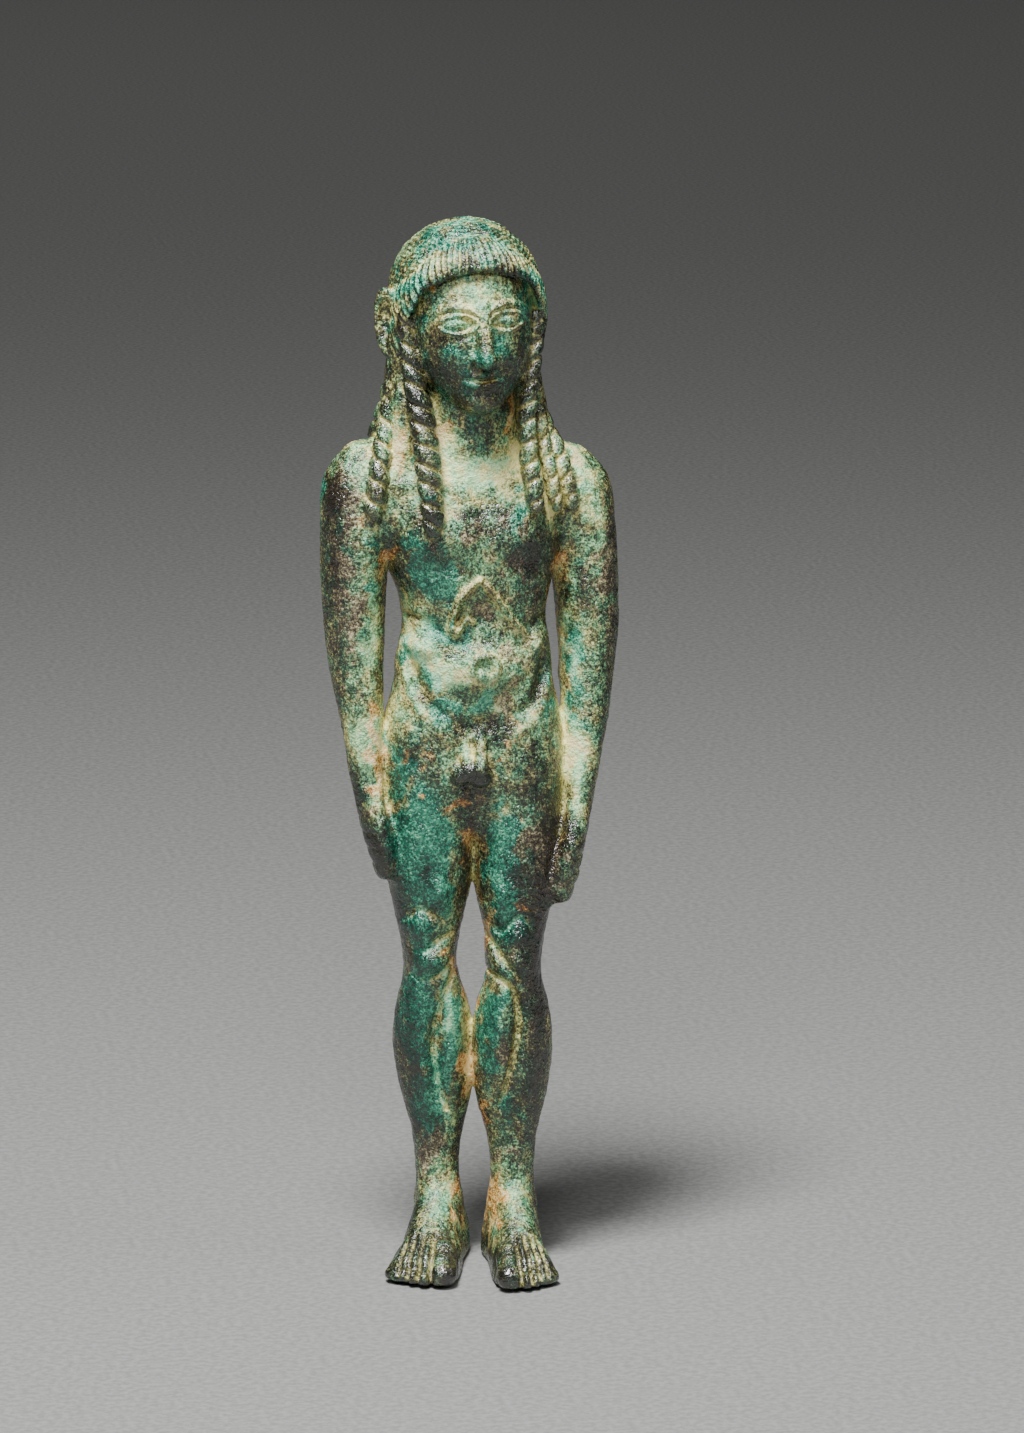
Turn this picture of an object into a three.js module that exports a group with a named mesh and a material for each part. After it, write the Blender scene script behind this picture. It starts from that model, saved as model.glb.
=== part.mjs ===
// A small standing youth, solid cast in bronze as one piece, in the archaic Greek manner.
// He stands nude and upright, arms down, closed hands against the thighs and left leg slightly
// advanced, with a strand-cut fringe, twisted locks on the chest and a mass of hair on the back.
//
// The form is a field: a function of a point that is negative inside the bronze and positive
// outside, in millimetres. Limbs are upright columns given by a few stations, the head is built
// from ellipsoids, and carving is added to or cut from them. The zero surface of the field is then
// turned into triangles, thinned where the form is plain, and set on the ground.
//
// Frame: millimetres, +Z up, the youth faces -Y, his left hand is at +X. The origin is on the
// ground under the middle of the figure.

import * as THREE from "three";
import { edgeTable, triTable } from "three/addons/objects/MarchingCubes.js";
import { mergeVertices } from "three/addons/utils/BufferGeometryUtils.js";

// Driving sizes. All the form below is drawn for a figure 130 mm tall and follows the height.
const height = 130;
const drawnHeight = 130;

// Pose, in degrees and drawn millimetres.
const headTurn = 4;
const legTurn = -4;
const headRoll = 2;
const leftLegAdvance = 2.4;
const leftShoulderDrop = 1.2;
const leftHandDrop = 3.4;
const rightShoulderRise = 0.45;
const rightWristOut = 0.4;

// Mesh: the finest and coarsest step of the sampling grid, and how many triangles are kept.
const gridFine = 0.44;
const gridMiddle = 0.6;
const gridCoarse = 0.82;
const gridMargin = 1.4;
const keptTriangles = 9800;

// What lies this close to the ground is made quite flat.
const soleGrind = 0.05;

// Colour of the patinated bronze, as the photograph shows it.
const bronzeGreen = 0x4f7058;
const bronzeRoughness = 0.55;
const bronzeMetalness = 0.35;

// Levels that several parts share.
const crownLevel = 130;
const headCentreLevel = 118.5;
const chinLevel = 107;
const shoulderLevel = 97.5;
const chestLevel = 91;
const lapLevel = 59;
const crotchLevel = 47.5;
const toeTopLevel = 7;

const { clamp, smoothstep, degToRad } = THREE.MathUtils;
const FAR = 50;

// Small tools

const smoothMin = (a, b, k) => {
  const h = Math.max(k - Math.abs(a - b), 0) / k;
  return Math.min(a, b) - (h * h * k) / 4;
};
const smoothMax = (a, b, k) => -smoothMin(-a, -b, k);

// A soft bump: 1 at 0, falling to nothing a few widths away.
const bump = (distance, width) => Math.exp(-((distance / width) ** 2));

// Stations [level, value, value, ...] in rising order, read as a smooth curve through them. The
// curve is kept as a fine table, so that reading it is quick.
const profileStep = 0.1;
function profile(stations) {
  const low = stations[0][0];
  const high = stations.at(-1)[0];
  const width = stations[0].length - 1;
  const count = Math.ceil((high - low) / profileStep) + 1;
  const table = new Float64Array(count * width);
  const slope = (i, k) => {
    const a = stations[Math.max(i - 1, 0)];
    const b = stations[Math.min(i + 1, stations.length - 1)];
    return (b[k] - a[k]) / (b[0] - a[0]);
  };
  for (let row = 0, i = 0; row < count; row++) {
    const level = Math.min(low + row * profileStep, high);
    while (i < stations.length - 2 && level > stations[i + 1][0]) i++;
    const span = stations[i + 1][0] - stations[i][0];
    const t = (level - stations[i][0]) / span;
    for (let k = 1; k <= width; k++) {
      const p = stations[i][k];
      const q = stations[i + 1][k];
      const m = slope(i, k) * span;
      const n = slope(i + 1, k) * span;
      const s = 1 - t;
      table[row * width + k - 1] =
        p * (1 + 2 * t) * s * s + m * t * s * s + q * t * t * (3 - 2 * t) - n * t * t * s;
    }
  }
  return (level, out) => {
    const at = clamp((level - low) / profileStep, 0, count - 1.001);
    const row = Math.floor(at);
    const t = at - row;
    for (let k = 0; k < width; k++) {
      out[k] = table[row * width + k] * (1 - t) + table[(row + 1) * width + k] * t;
    }
    return out;
  };
}

// An upright limb: stations [level, centreX, centreY, halfWidth, front, back], where front and back
// are its half depths. Power 2 makes oval sections and more makes squarer ones.
function column(stations, { power = 2, rim = 0.8 } = {}) {
  const at = profile(stations);
  const low = stations[0][0];
  const high = stations.at(-1)[0];
  const row = new Float64Array(5);
  return (x, y, z) => {
    if (z < low - 4 || z > high + 4) return FAR;
    at(z, row);
    const dx = Math.abs(x - row[0]);
    const dy = y - row[1];
    const a = row[2];
    const b = dy < 0 ? row[3] : row[4];
    const u = Math.max(dx / a, 1e-6);
    const v = Math.max(Math.abs(dy) / b, 1e-6);
    const share = (u ** power + v ** power) ** (1 / power);
    const grade = Math.hypot(u ** (power - 1) / a, v ** (power - 1) / b) * share ** (1 - power);
    return smoothMax((share - 1) / grade, Math.max(low - z, z - high), rim);
  };
}

// The distance to an ellipsoid, close enough near its surface.
function ellipsoid(x, y, z, [cx, cy, cz], [rx, ry, rz]) {
  const px = x - cx;
  const py = y - cy;
  const pz = z - cz;
  const k0 = Math.hypot(px / rx, py / ry, pz / rz);
  const k1 = Math.hypot(px / rx ** 2, py / ry ** 2, pz / rz ** 2);
  return (k0 * (k0 - 1)) / Math.max(k1, 1e-6);
}

// The distance to a strut whose radius goes from r at a to s at b.
function strut(x, y, z, a, b, r, s) {
  const d = [b[0] - a[0], b[1] - a[1], b[2] - a[2]];
  const p = [x - a[0], y - a[1], z - a[2]];
  const along = clamp(
    (p[0] * d[0] + p[1] * d[1] + p[2] * d[2]) / (d[0] ** 2 + d[1] ** 2 + d[2] ** 2),
    0,
    1,
  );
  const off = Math.hypot(p[0] - d[0] * along, p[1] - d[1] * along, p[2] - d[2] * along);
  return off - (r + (s - r) * along);
}

// Torso, neck and hair mass

const torsoColumn = column(
  [
    [54, 0, 0, 7.2, 4.2, 4.4],
    [58, 0, 0, 9.2, 5.0, 5.8],
    [62, 0, 0, 10.4, 5.6, 7.0],
    [66, 0, 0, 10.7, 5.9, 7.4],
    [69.8, 0, 0, 10.2, 6.0, 6.8],
    [72.6, 0, 0, 9.7, 6.1, 5.8],
    [76, 0, 0, 9.6, 6.1, 4.9],
    [80, 0.15, 0, 8.8, 5.7, 4.5],
    [84, 0.15, 0, 9.2, 6.0, 5.0],
    [88, 0, 0, 10.4, 6.5, 6.0],
    [92, 0, 0.1, 11.0, 6.7, 6.8],
    [96, 0, 0.4, 11.6, 6.1, 7.0],
    [99, 0, 0.8, 12.2, 5.3, 6.6],
    [101.5, 0, 1.2, 11.8, 4.4, 5.6],
    [103.8, 0, 1.4, 8.6, 3.8, 4.8],
  ],
  { power: 2.35, rim: 2.2 },
);

const neckColumn = column([
  [98, 0, 0.2, 7.0, 4.9, 5.2],
  [103, 0, 0.0, 6.1, 4.9, 5.6],
  [107, 0, -0.2, 5.8, 4.9, 6.0],
  [113, 0, -0.2, 6.0, 4.6, 6.4],
]);

// The arch of the ribs: the level of its edge beside the midline.
const ribArchApex = 85.9;
const ribArchFall = 1.15;
const navelLevel = 76;
const navelRadius = 1.3;

function torso(x, y, z) {
  let d = torsoColumn(x, y, z);
  if (d > 4) return d;
  const side = Math.abs(x);
  if (y < 0) {
    // Pectorals, parted at the midline and ending in a soft fold
    const fold = 88.6 - 0.06 * (side - 4.4) ** 2;
    d -= 0.5 * bump(z - 93, 3.4) * bump(side - 5, 3.6);
    d += 0.3 * bump(z - fold, 1.6) * bump(side - 5, 4);
    d += 0.3 * bump(side, 1.2) * smoothstep(z, 84, 90) * (1 - smoothstep(z, 96, 101));
    // Collarbones and the pit of the neck
    d -= 0.3 * bump(z - 99.2 + 0.08 * side, 0.9) * smoothstep(side, 1.5, 4);
    d += 0.6 * bump(side, 1.4) * bump(z - 99.6, 1.5);
    // The rib arch, a thin ridge over a hollow belly
    const arch = z - (ribArchApex - ribArchFall * side);
    const inArch = 1 - smoothstep(side, 4, 5.6);
    d -= 0.5 * bump(arch, 0.75) * inArch;
    d += 0.35 * bump(arch + 1.9, 1.5) * inArch;
    // The navel's ring, the swell over the hips and the groin's slanting furrow
    const fromNavel = Math.hypot(x, z - navelLevel);
    d -= 0.45 * Math.exp(-((x / 4.6) ** 2) - ((z - 74.5) / 5) ** 2);
    d -= 0.5 * bump(fromNavel - navelRadius, 0.5);
    d += 0.3 * bump(fromNavel, 0.7);
    d -= 0.8 * bump(z - 76.4 + 0.12 * side, 2.0) * bump(side - 7.9, 2.2);
    const furrow = z - (64.6 + 1.05 * side);
    d += 0.7 * bump(furrow, 1.25) * smoothstep(side, 1.2, 3.5);
  } else {
    // The spine's furrow and the shoulder blades
    d += 0.75 * bump(side, 1.6) * smoothstep(z, 68, 74) * (1 - smoothstep(z, 92, 99));
    d -= 0.55 * bump(z - 91, 3.4) * bump(side - 5.6, 2.6);
  }
  return d;
}

const hairMassColumn = column(
  [
    [90.5, 0, 6.4, 6.4, 0.8, 0.9],
    [93, 0, 6.7, 8.2, 2.0, 1.8],
    [97, 0, 6.9, 9.8, 2.6, 2.3],
    [101, 0, 6.3, 11.3, 2.8, 2.6],
    [104, 0, 5.4, 11.1, 3.8, 3.0],
    [107, 0, 4.6, 10.3, 5.4, 3.6],
    [111, 0, 4.0, 9.35, 6.6, 4.6],
    [116, 0, 3.4, 8.9, 5.4, 5.8],
    [121, 0, 2.6, 8.6, 4.4, 7.0],
  ],
  { power: 2.3, rim: 1.2 },
);

// Hair behind the ears that the front locks lie against, drawn for the left side.
const sideHair = column([
  [101, 8.8, 1.4, 1.5, 2.0, 3],
  [104, 8.5, 1.2, 1.8, 2.6, 3],
  [108, 7.8, 1.0, 1.8, 2.9, 3],
  [112, 7.4, 0.8, 1.7, 3.0, 3],
  [118, 7.5, 0.4, 1.5, 3.0, 3],
]);
const rightHairOut = 0.8;

// Tresses down the back: upright furrows, each tress notched across like a string of beads.
const tressWidth = 2.3;
const beadHeight = 2.5;
function hairMass(x, y, z) {
  const d = smoothMin(hairMassColumn(x, y, z), sideHair(x < 0 ? -x - rightHairOut : x, y, z), 1);
  if (d > 2) return d;
  const fan = 1 + 0.035 * clamp(112 - z, 0, 22);
  const across = x / (tressWidth * fan);
  const tress = Math.floor(across + 0.5);
  const furrow = Math.abs(across - tress) * 2;
  const notch = Math.abs(Math.sin((Math.PI * (z + (tress & 1) * 0.5 * beadHeight)) / beadHeight));
  const behind = smoothstep(y, 2.5, 5);
  return d + behind * (0.55 * furrow ** 3 + 0.28 * (1 - notch) ** 2 - 0.15);
}

// Limbs. Each is drawn for the figure's left side, with x away from the midline.

const armStations = [
  [49.2, 10.5, -2.9, 1.4, 1.7, 1.6],
  [51.5, 10.75, -2.8, 1.9, 2.6, 2.5],
  [54.5, 11.3, -2.6, 2.1, 3.0, 2.8],
  [57.5, 12.1, -2.3, 1.9, 2.7, 2.4],
  [60.5, 12.7, -1.9, 1.85, 2.3, 2.2],
  [64, 13.15, -1.3, 2.2, 2.7, 2.6],
  [68.3, 13.6, -0.5, 2.65, 3.1, 3.1],
  [72, 14.0, 0.1, 3.0, 3.3, 3.5],
  [76, 14.3, 0.6, 3.35, 3.6, 3.8],
  [80, 14.5, 0.9, 3.7, 3.9, 4.1],
  [84, 14.45, 1.1, 3.9, 4.3, 4.4],
  [88, 14.3, 1.3, 4.1, 4.6, 4.6],
  [92, 14.0, 1.4, 4.35, 4.8, 4.7],
  [96, 13.5, 1.5, 4.7, 4.7, 4.6],
  [99.2, 12.9, 1.5, 4.5, 4.2, 4.2],
  [102.6, 11.8, 1.5, 2.7, 2.5, 2.6],
];
// The left shoulder sits a little lower, and its hand lower still.
const wristLevel = 60;
const hanging = (shoulderDrop, handDrop, wristOut) =>
  armStations.map(([z, x, ...rest]) => {
    const share = clamp((shoulderLevel - z) / (shoulderLevel - armStations[0][0]), 0, 1);
    const drop = shoulderDrop + (handDrop - shoulderDrop) * share;
    return [z - drop, x + wristOut * bump(z - wristLevel, 6), ...rest];
  });
const armColumns = {
  right: column(hanging(-rightShoulderRise, 0, rightWristOut)),
  left: column(hanging(leftShoulderDrop, leftHandDrop, 0)),
};

function arm(x, y, z, side) {
  const drop = side === "left" ? leftHandDrop : 0;
  let d = armColumns[side](x, y, z);
  if (d > 3) return d;
  // The thumb lies down the front of the closed hand, and furrows part the fingers
  const wrist = [12.6, -3.5, 60.5 - drop];
  const knuckle = [11.8, -4.9, 56.5 - drop];
  const tip = [10.9, -5.2, 53.4 - drop];
  d = smoothMin(d, strut(x, y, z, wrist, knuckle, 1.0, 0.95), 0.9);
  d = smoothMin(d, strut(x, y, z, knuckle, tip, 0.95, 0.7), 0.4);
  const fist = smoothstep(z + drop, 49, 50.5) * (1 - smoothstep(z + drop, 56.5, 58));
  const fingers = Math.abs(Math.sin((Math.PI * (z + drop - 49.6)) / 1.9));
  d += 0.3 * fist * (1 - fingers) ** 2 * smoothstep(x, 11.4, 12.6);
  // A faint bend marks the elbow at the back
  d -= 0.3 * bump(z - 75 + drop * 0.5, 2.2) * smoothstep(y, 0, 3);
  return d;
}

const legColumn = column(
  [
    [6, 4.45, 0.5, 2.55, 2.7, 3.2],
    [10, 4.5, 0.5, 2.65, 2.9, 3.4],
    [14, 4.55, 0.5, 2.8, 2.8, 3.3],
    [17, 4.5, 0.5, 3.25, 2.9, 3.5],
    [20, 4.5, 0.5, 4.05, 3.2, 4.1],
    [23, 4.6, 0.5, 4.65, 3.6, 4.9],
    [26.5, 4.75, 0.4, 4.95, 3.9, 5.5],
    [30, 4.8, 0.2, 4.9, 4.1, 5.6],
    [33.5, 4.9, 0, 4.2, 4.3, 4.9],
    [36, 5.05, -0.2, 3.45, 4.6, 3.9],
    [38.7, 5.2, -0.3, 3.2, 4.9, 3.4],
    [42, 5.2, -0.2, 3.75, 5.1, 3.9],
    [46, 5.2, 0, 4.65, 5.5, 4.9],
    [49.5, 5.2, 0.1, 5.3, 6.0, 5.8],
    [57, 5.45, 0.3, 5.8, 6.4, 7.4],
    [63, 5.3, 0.5, 5.7, 6.2, 8.2],
    [68, 5.0, 0.6, 5.0, 5.6, 7.4],
    [72, 4.7, 0.6, 4.0, 4.6, 5.4],
  ],
  { power: 2.1, rim: 2 },
);

// How far each knee faces outward, and how far below the other it sits.
const kneeOut = { right: 1.0, left: 0.2 };
const kneeDrop = { right: 0, left: 0.8 };
const kneeLevel = 41.9;

function leg(x, y, z, side) {
  let d = legColumn(x, y, z);
  if (d > 3) return d;
  const across = x - 5.1 - kneeOut[side];
  const up = z - kneeLevel + kneeDrop[side];
  if (y < 0) {
    // Kneecap, the swell above it on the inside, and the knob below it
    d -= 0.65 * Math.exp(-((up / 1.7) ** 2) - (across / 1.8) ** 2);
    d -= 0.55 * Math.exp(-(((up - 4.2) / 2.0) ** 2) - ((across + 2.6) / 1.5) ** 2);
    d -= 0.45 * Math.exp(-(((up + 4.4) / 1.3) ** 2) - (across / 1.6) ** 2);
    d += 0.4 * bump(up + 2.3, 0.8) * bump(across, 2.6);
    d += 0.35 * bump(up - 2.5 + 0.3 * across, 0.8) * bump(across, 2.8);
    // The long swell of the inner calf, with a furrow between it and the shin
    const oval = Math.hypot((across + 2.3) / 2.1, (z - 27.5) / 7.5);
    const front = smoothstep(-y, 0.5, 2.5);
    d -= 0.55 * front * (1 - smoothstep(oval, 0.4, 1));
    d += 0.4 * front * bump(oval - 1.12, 0.16);
    const shank = smoothstep(z, 12, 16) * (1 - smoothstep(z, 31, 36));
    d -= 0.3 * bump(across - 1.0, 0.8) * shank;
  } else {
    d += 0.35 * bump(across, 1.0) * bump(z - 29, 5);
    d += 0.5 * bump(z - 38.5, 2.2) * bump(across, 1.8);
  }
  return d;
}

// Feet. A foot is drawn for the left side with its ankle at the origin and "ahead" towards its toes.
const footColumn = profile([
  [-5.2, 0, 1.6, 2.6],
  [-4.4, 0, 2.8, 5.0],
  [-2.5, 0, 3.6, 9.6],
  [0, 0, 3.6, 11.5],
  [3, 0.1, 3.6, 10.2],
  [6, 0.2, 3.9, 7.6],
  [9, 0.3, 4.3, 5.7],
  [11.5, 0.4, 4.45, 4.6],
  [13.5, 0.4, 4.3, 3.7],
  [15, 0.3, 3.6, 2.6],
]);
// Each toe: how far across, how far ahead its tip lies, its half width, and the height of its middle
const toes = [
  { across: -2.3, reach: 15.9, radius: 1.65, rise: 1.9 },
  { across: -0.1, reach: 15.8, radius: 0.95, rise: 1.5 },
  { across: 1.3, reach: 15.2, radius: 0.88, rise: 1.4 },
  { across: 2.65, reach: 14.4, radius: 0.85, rise: 1.3 },
  { across: 4.1, reach: 13.4, radius: 0.95, rise: 1.2 },
];
const toeLength = 5.5;
const toeSlope = 1.5;
const toeFan = 0.8;
const heelBack = 5.2;
const footLength = 14.2;
// How far each foot points outward, in degrees, and how broad it is outside the big toe
const footSplay = { right: 12, left: 3.5 };
const footBreadth = { right: 1, left: 0.84 };

function foot(acrossFoot, ahead, z, breadth) {
  if (z > 13 || Math.abs(acrossFoot) > 9 || ahead < -9 || ahead > 20) return FAR;
  const narrow = acrossFoot + 2.3 > 0 ? breadth + (1 - breadth) * (1 - smoothstep(ahead, 0, 9)) : 1;
  const across = (acrossFoot + 2.3) / narrow - 2.3;
  const row = footColumn(ahead, new Float64Array(3));
  const u = (across - row[0]) / row[1];
  const v = Math.max(z, 0) / row[2];
  const share = Math.max(Math.hypot(u, v), 1e-6);
  const grade = Math.hypot(u / row[1], v / row[2]) / share;
  let d = (share - 1) / Math.max(grade, 1e-6);
  d = smoothMax(d, Math.max(-heelBack - ahead, ahead - footLength), 1.6);
  for (const { across: at, reach, radius, rise } of toes) {
    const root = [at * toeFan, reach - toeLength, rise + toeSlope];
    const tip = [at, reach - radius, rise];
    d = smoothMin(d, strut(across, ahead, z, root, tip, radius, radius), 0.3);
    d = smoothMin(d, strut(across, ahead, z, tip, [at, tip[1], 0.4], radius, radius * 0.9), 0.3);
  }
  // Furrows run up the foot between the toes
  for (let i = 0; i < toes.length - 1; i++) {
    const gap = (toes[i].across + toes[i].radius + toes[i + 1].across - toes[i + 1].radius) / 2;
    const fan = gap * (0.55 + 0.03 * ahead);
    d += 0.4 * bump(across - fan, 0.34) * smoothstep(ahead, 6, 9.5) * smoothstep(z, 0.6, 1.8);
  }
  // Ankle bones
  d -= 0.35 * bump(Math.hypot(ahead - 0.2, z - 8.4), 1.5) * smoothstep(Math.abs(across), 1.8, 2.8);
  return d;
}

// Head. It is drawn upright and then rolled a little about its centre.

const eyeLevel = (crownLevel + chinLevel) / 2;
const browLevel = eyeLevel + 2.1;
const noseLevel = (browLevel + chinLevel) / 2;
const mouthLevel = noseLevel - (noseLevel - chinLevel) / 3;
const eyeApart = 3.05;

function face(x, y, z) {
  const side = Math.abs(x);
  let d = ellipsoid(x, y, z, [0, 0.6, crownLevel - 9.8], [7.9, 8.7, 9.2]);
  d = smoothMin(d, ellipsoid(x, y, z, [0, -2.2, chinLevel + 8.2], [6.9, 6.5, 8.1]), 2);
  d = smoothMin(d, ellipsoid(x, y, z, [0, -5.7, chinLevel + 2.3], [2.5, 2.5, 2.3]), 2.2);
  if (d > 3) return d;
  // Cheeks, eye sockets and brows
  d -= 0.3 * bump(z - noseLevel - 1, 2) * bump(side - 3.6, 1.8) * smoothstep(-y, 2, 6);
  const socket = ellipsoid(side, y, z, [eyeApart, -9.5, eyeLevel + 0.1], [2.5, 1.9, 1.65]);
  d = smoothMax(d, -socket, 0.9);
  const browArc = z - (browLevel - 0.16 * (side - eyeApart) ** 2);
  d -= 0.35 * bump(browArc, 0.5) * smoothstep(-y, 3, 6) * bump(side - eyeApart, 3);
  // Almond eyes with raised lids
  const lidHeight = 1.15 * Math.sqrt(Math.max(1 - ((side - eyeApart) / 2.25) ** 2, 0));
  const ball = ellipsoid(side, y, z, [eyeApart, -6.3, eyeLevel], [2.3, 1.75, 1.35]);
  d = smoothMin(d, ball, 0.25);
  const lid = Math.abs(Math.abs(z - eyeLevel) - lidHeight);
  const nearEye = 1 - smoothstep(Math.abs(side - eyeApart), 2.0, 2.6);
  d -= 0.28 * bump(lid, 0.3) * nearEye * smoothstep(-y, 3, 5.5);
  // Nose
  d = smoothMin(
    d,
    strut(x, y, z, [0, -8.0, browLevel - 0.4], [0, -10.0, noseLevel + 0.5], 0.75, 1.05),
    0.9,
  );
  d = smoothMin(d, ellipsoid(side, y, z, [0.95, -9.0, noseLevel + 0.2], [0.75, 1.0, 0.7]), 0.5);
  // Lips, with their corners lifted a little, and the hollow under them
  const corner = 0.1 * side ** 2;
  const lipReach = bump(side, 2.0);
  const front = smoothstep(-y, 4, 6.5);
  d -= 0.45 * bump(z - mouthLevel - 0.55 - corner, 0.5) * lipReach * front;
  d -= 0.5 * bump(z - mouthLevel + 0.6 - corner, 0.5) * lipReach * front;
  d += 0.45 * bump(z - mouthLevel - corner, 0.25) * bump(side, 2.3) * front;
  d += 0.3 * bump(z - mouthLevel + 1.8, 0.6) * bump(side, 1.8) * front;
  return d;
}

const hairRadii = [9.25, 9.9, 9.0];
const hairCentre = [0, 0.9, crownLevel - hairRadii[2]];
// The cut lower edge of the fringe falls slowly to its corners and then down the temples.
const fringeApex = 125.3;
const fringeCorner = 6.2;
const fringeHeight = 3.3;
const fringeLine = (x) =>
  fringeApex - 0.05 * x * x - 0.75 * Math.max(Math.abs(x) - fringeCorner, 0) ** 2;
const fringeTop = (x) => fringeApex + fringeHeight - 0.075 * x * x;
const fringeSwell = 0.55;

function hair(x, y, z) {
  let d = ellipsoid(x, y, z, hairCentre, hairRadii);
  if (d > 3) return d;
  const edge = fringeLine(x);
  const top = fringeTop(x);
  const part = clamp((z - edge) / (top - edge), 0, 1);
  const before = 1 - smoothstep(y, -1, 3);
  // The fringe swells like a roll below the flatter crown
  d -= before * fringeSwell * Math.sin(Math.PI * part) ** 0.7;
  return smoothMax(d, Math.min(edge - z, 1.2 - y), 0.7);
}

const earOut = { right: 9.9, left: 8.6 };
function ear(side, y, z, out) {
  const bowl = ellipsoid(side, y, z, [out, 0.2, eyeLevel - 0.3], [1.4, 2.3, 4.1]);
  if (bowl > 3) return bowl;
  const hollow = ellipsoid(side, y, z, [out + 1.1, -1.2, eyeLevel + 0.1], [0.95, 1.5, 2.7]);
  return smoothMax(bowl, -hollow, 0.5);
}

// Twisted locks that fall over the chest: stations [level, x, y, radius], and which way they turn.
const locks = [
  {
    turn: 1,
    stations: [
      [92.6, -6.1, -6.9, 0.8],
      [94, -6.15, -6.9, 1.2],
      [97, -6.3, -6.6, 1.4],
      [101, -6.4, -5.6, 1.6],
      [105, -6.6, -4.6, 1.65],
      [108, -6.95, -3.9, 1.5],
      [111, -7.35, -3.1, 1.3],
      [115, -7.7, -2.3, 1.15],
      [119, -8.1, -2.2, 1.0],
    ],
  },
  {
    turn: 1,
    stations: [
      [93.6, -12.9, -2.9, 0.8],
      [95.5, -12.7, -3.2, 1.15],
      [98, -12.2, -3.2, 1.2],
      [101, -11.6, -2.5, 1.1],
      [104.5, -10.8, -1.0, 1.0],
      [108, -9.7, 0.0, 1.0],
      [114, -8.9, 0.4, 0.9],
    ],
  },
  {
    turn: -1,
    stations: [
      [95, 6.6, -6.6, 0.7],
      [96.5, 6.6, -6.4, 1.05],
      [99, 6.4, -5.9, 1.15],
      [102, 6.2, -5.1, 1.1],
      [106, 6.3, -4.3, 1.05],
      [110, 6.9, -3.4, 1.0],
      [115, 7.8, -2.4, 0.95],
      [119, 8.1, -2.0, 0.9],
    ],
  },
  {
    turn: -1,
    stations: [
      [94.6, 9.7, -5.1, 0.5],
      [96.5, 9.4, -5.1, 0.8],
      [99.5, 9.0, -4.3, 0.9],
      [103, 8.6, -2.6, 0.9],
      [107, 8.3, -1.2, 0.8],
    ],
  },
  {
    turn: -1,
    stations: [
      [94.4, 11.8, -3.6, 0.7],
      [96.5, 11.6, -3.6, 1.05],
      [99, 11.1, -3.1, 1.1],
      [102, 10.4, -1.9, 1.05],
      [105, 9.3, -0.4, 0.95],
      [109, 8.2, 0.4, 0.8],
    ],
  },
];
const twistPitch = 2.35;
const twistDepth = 0.34;
for (const lock of locks) {
  lock.rows = lock.stations.map(([z, x, y, r]) => [z, x, y, r, r, r]);
  lock.body = column(lock.rows, { rim: 0.6 });
  lock.line = profile(lock.rows);
}

function lock({ turn, body, line }, x, y, z) {
  const d = body(x, y, z);
  if (d > 1.5) return d;
  const row = line(z, new Float64Array(5));
  const angle = Math.atan2(x - row[0], row[1] - y);
  const phase = z / twistPitch + (turn * angle) / (2 * Math.PI);
  return d + twistDepth * (1 - Math.abs(Math.sin(Math.PI * phase))) ** 2 - 0.1;
}

function head(x, y, z) {
  if (z < 104) return FAR;
  const roll = degToRad(headRoll);
  const up = z - headCentreLevel;
  const hx = x * Math.cos(roll) + up * Math.sin(roll);
  const hz = headCentreLevel - x * Math.sin(roll) + up * Math.cos(roll);
  let d = face(hx, y, hz);
  d = smoothMin(d, hair(hx, y, hz), 0.3);
  return smoothMin(d, ear(Math.abs(hx), y, hz, hx < 0 ? earOut.right : earOut.left), 0.3);
}

function loins(x, y, z) {
  const across = x + 0.5;
  let d = ellipsoid(Math.abs(across), y, z, [1.05, -6.1, 62.2], [1.35, 1.5, 1.8]);
  d = smoothMin(d, strut(across, y, z, [0, -6.2, 65.8], [0.1, -7.4, 63], 0.95, 0.85), 0.3);
  return d;
}

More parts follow.
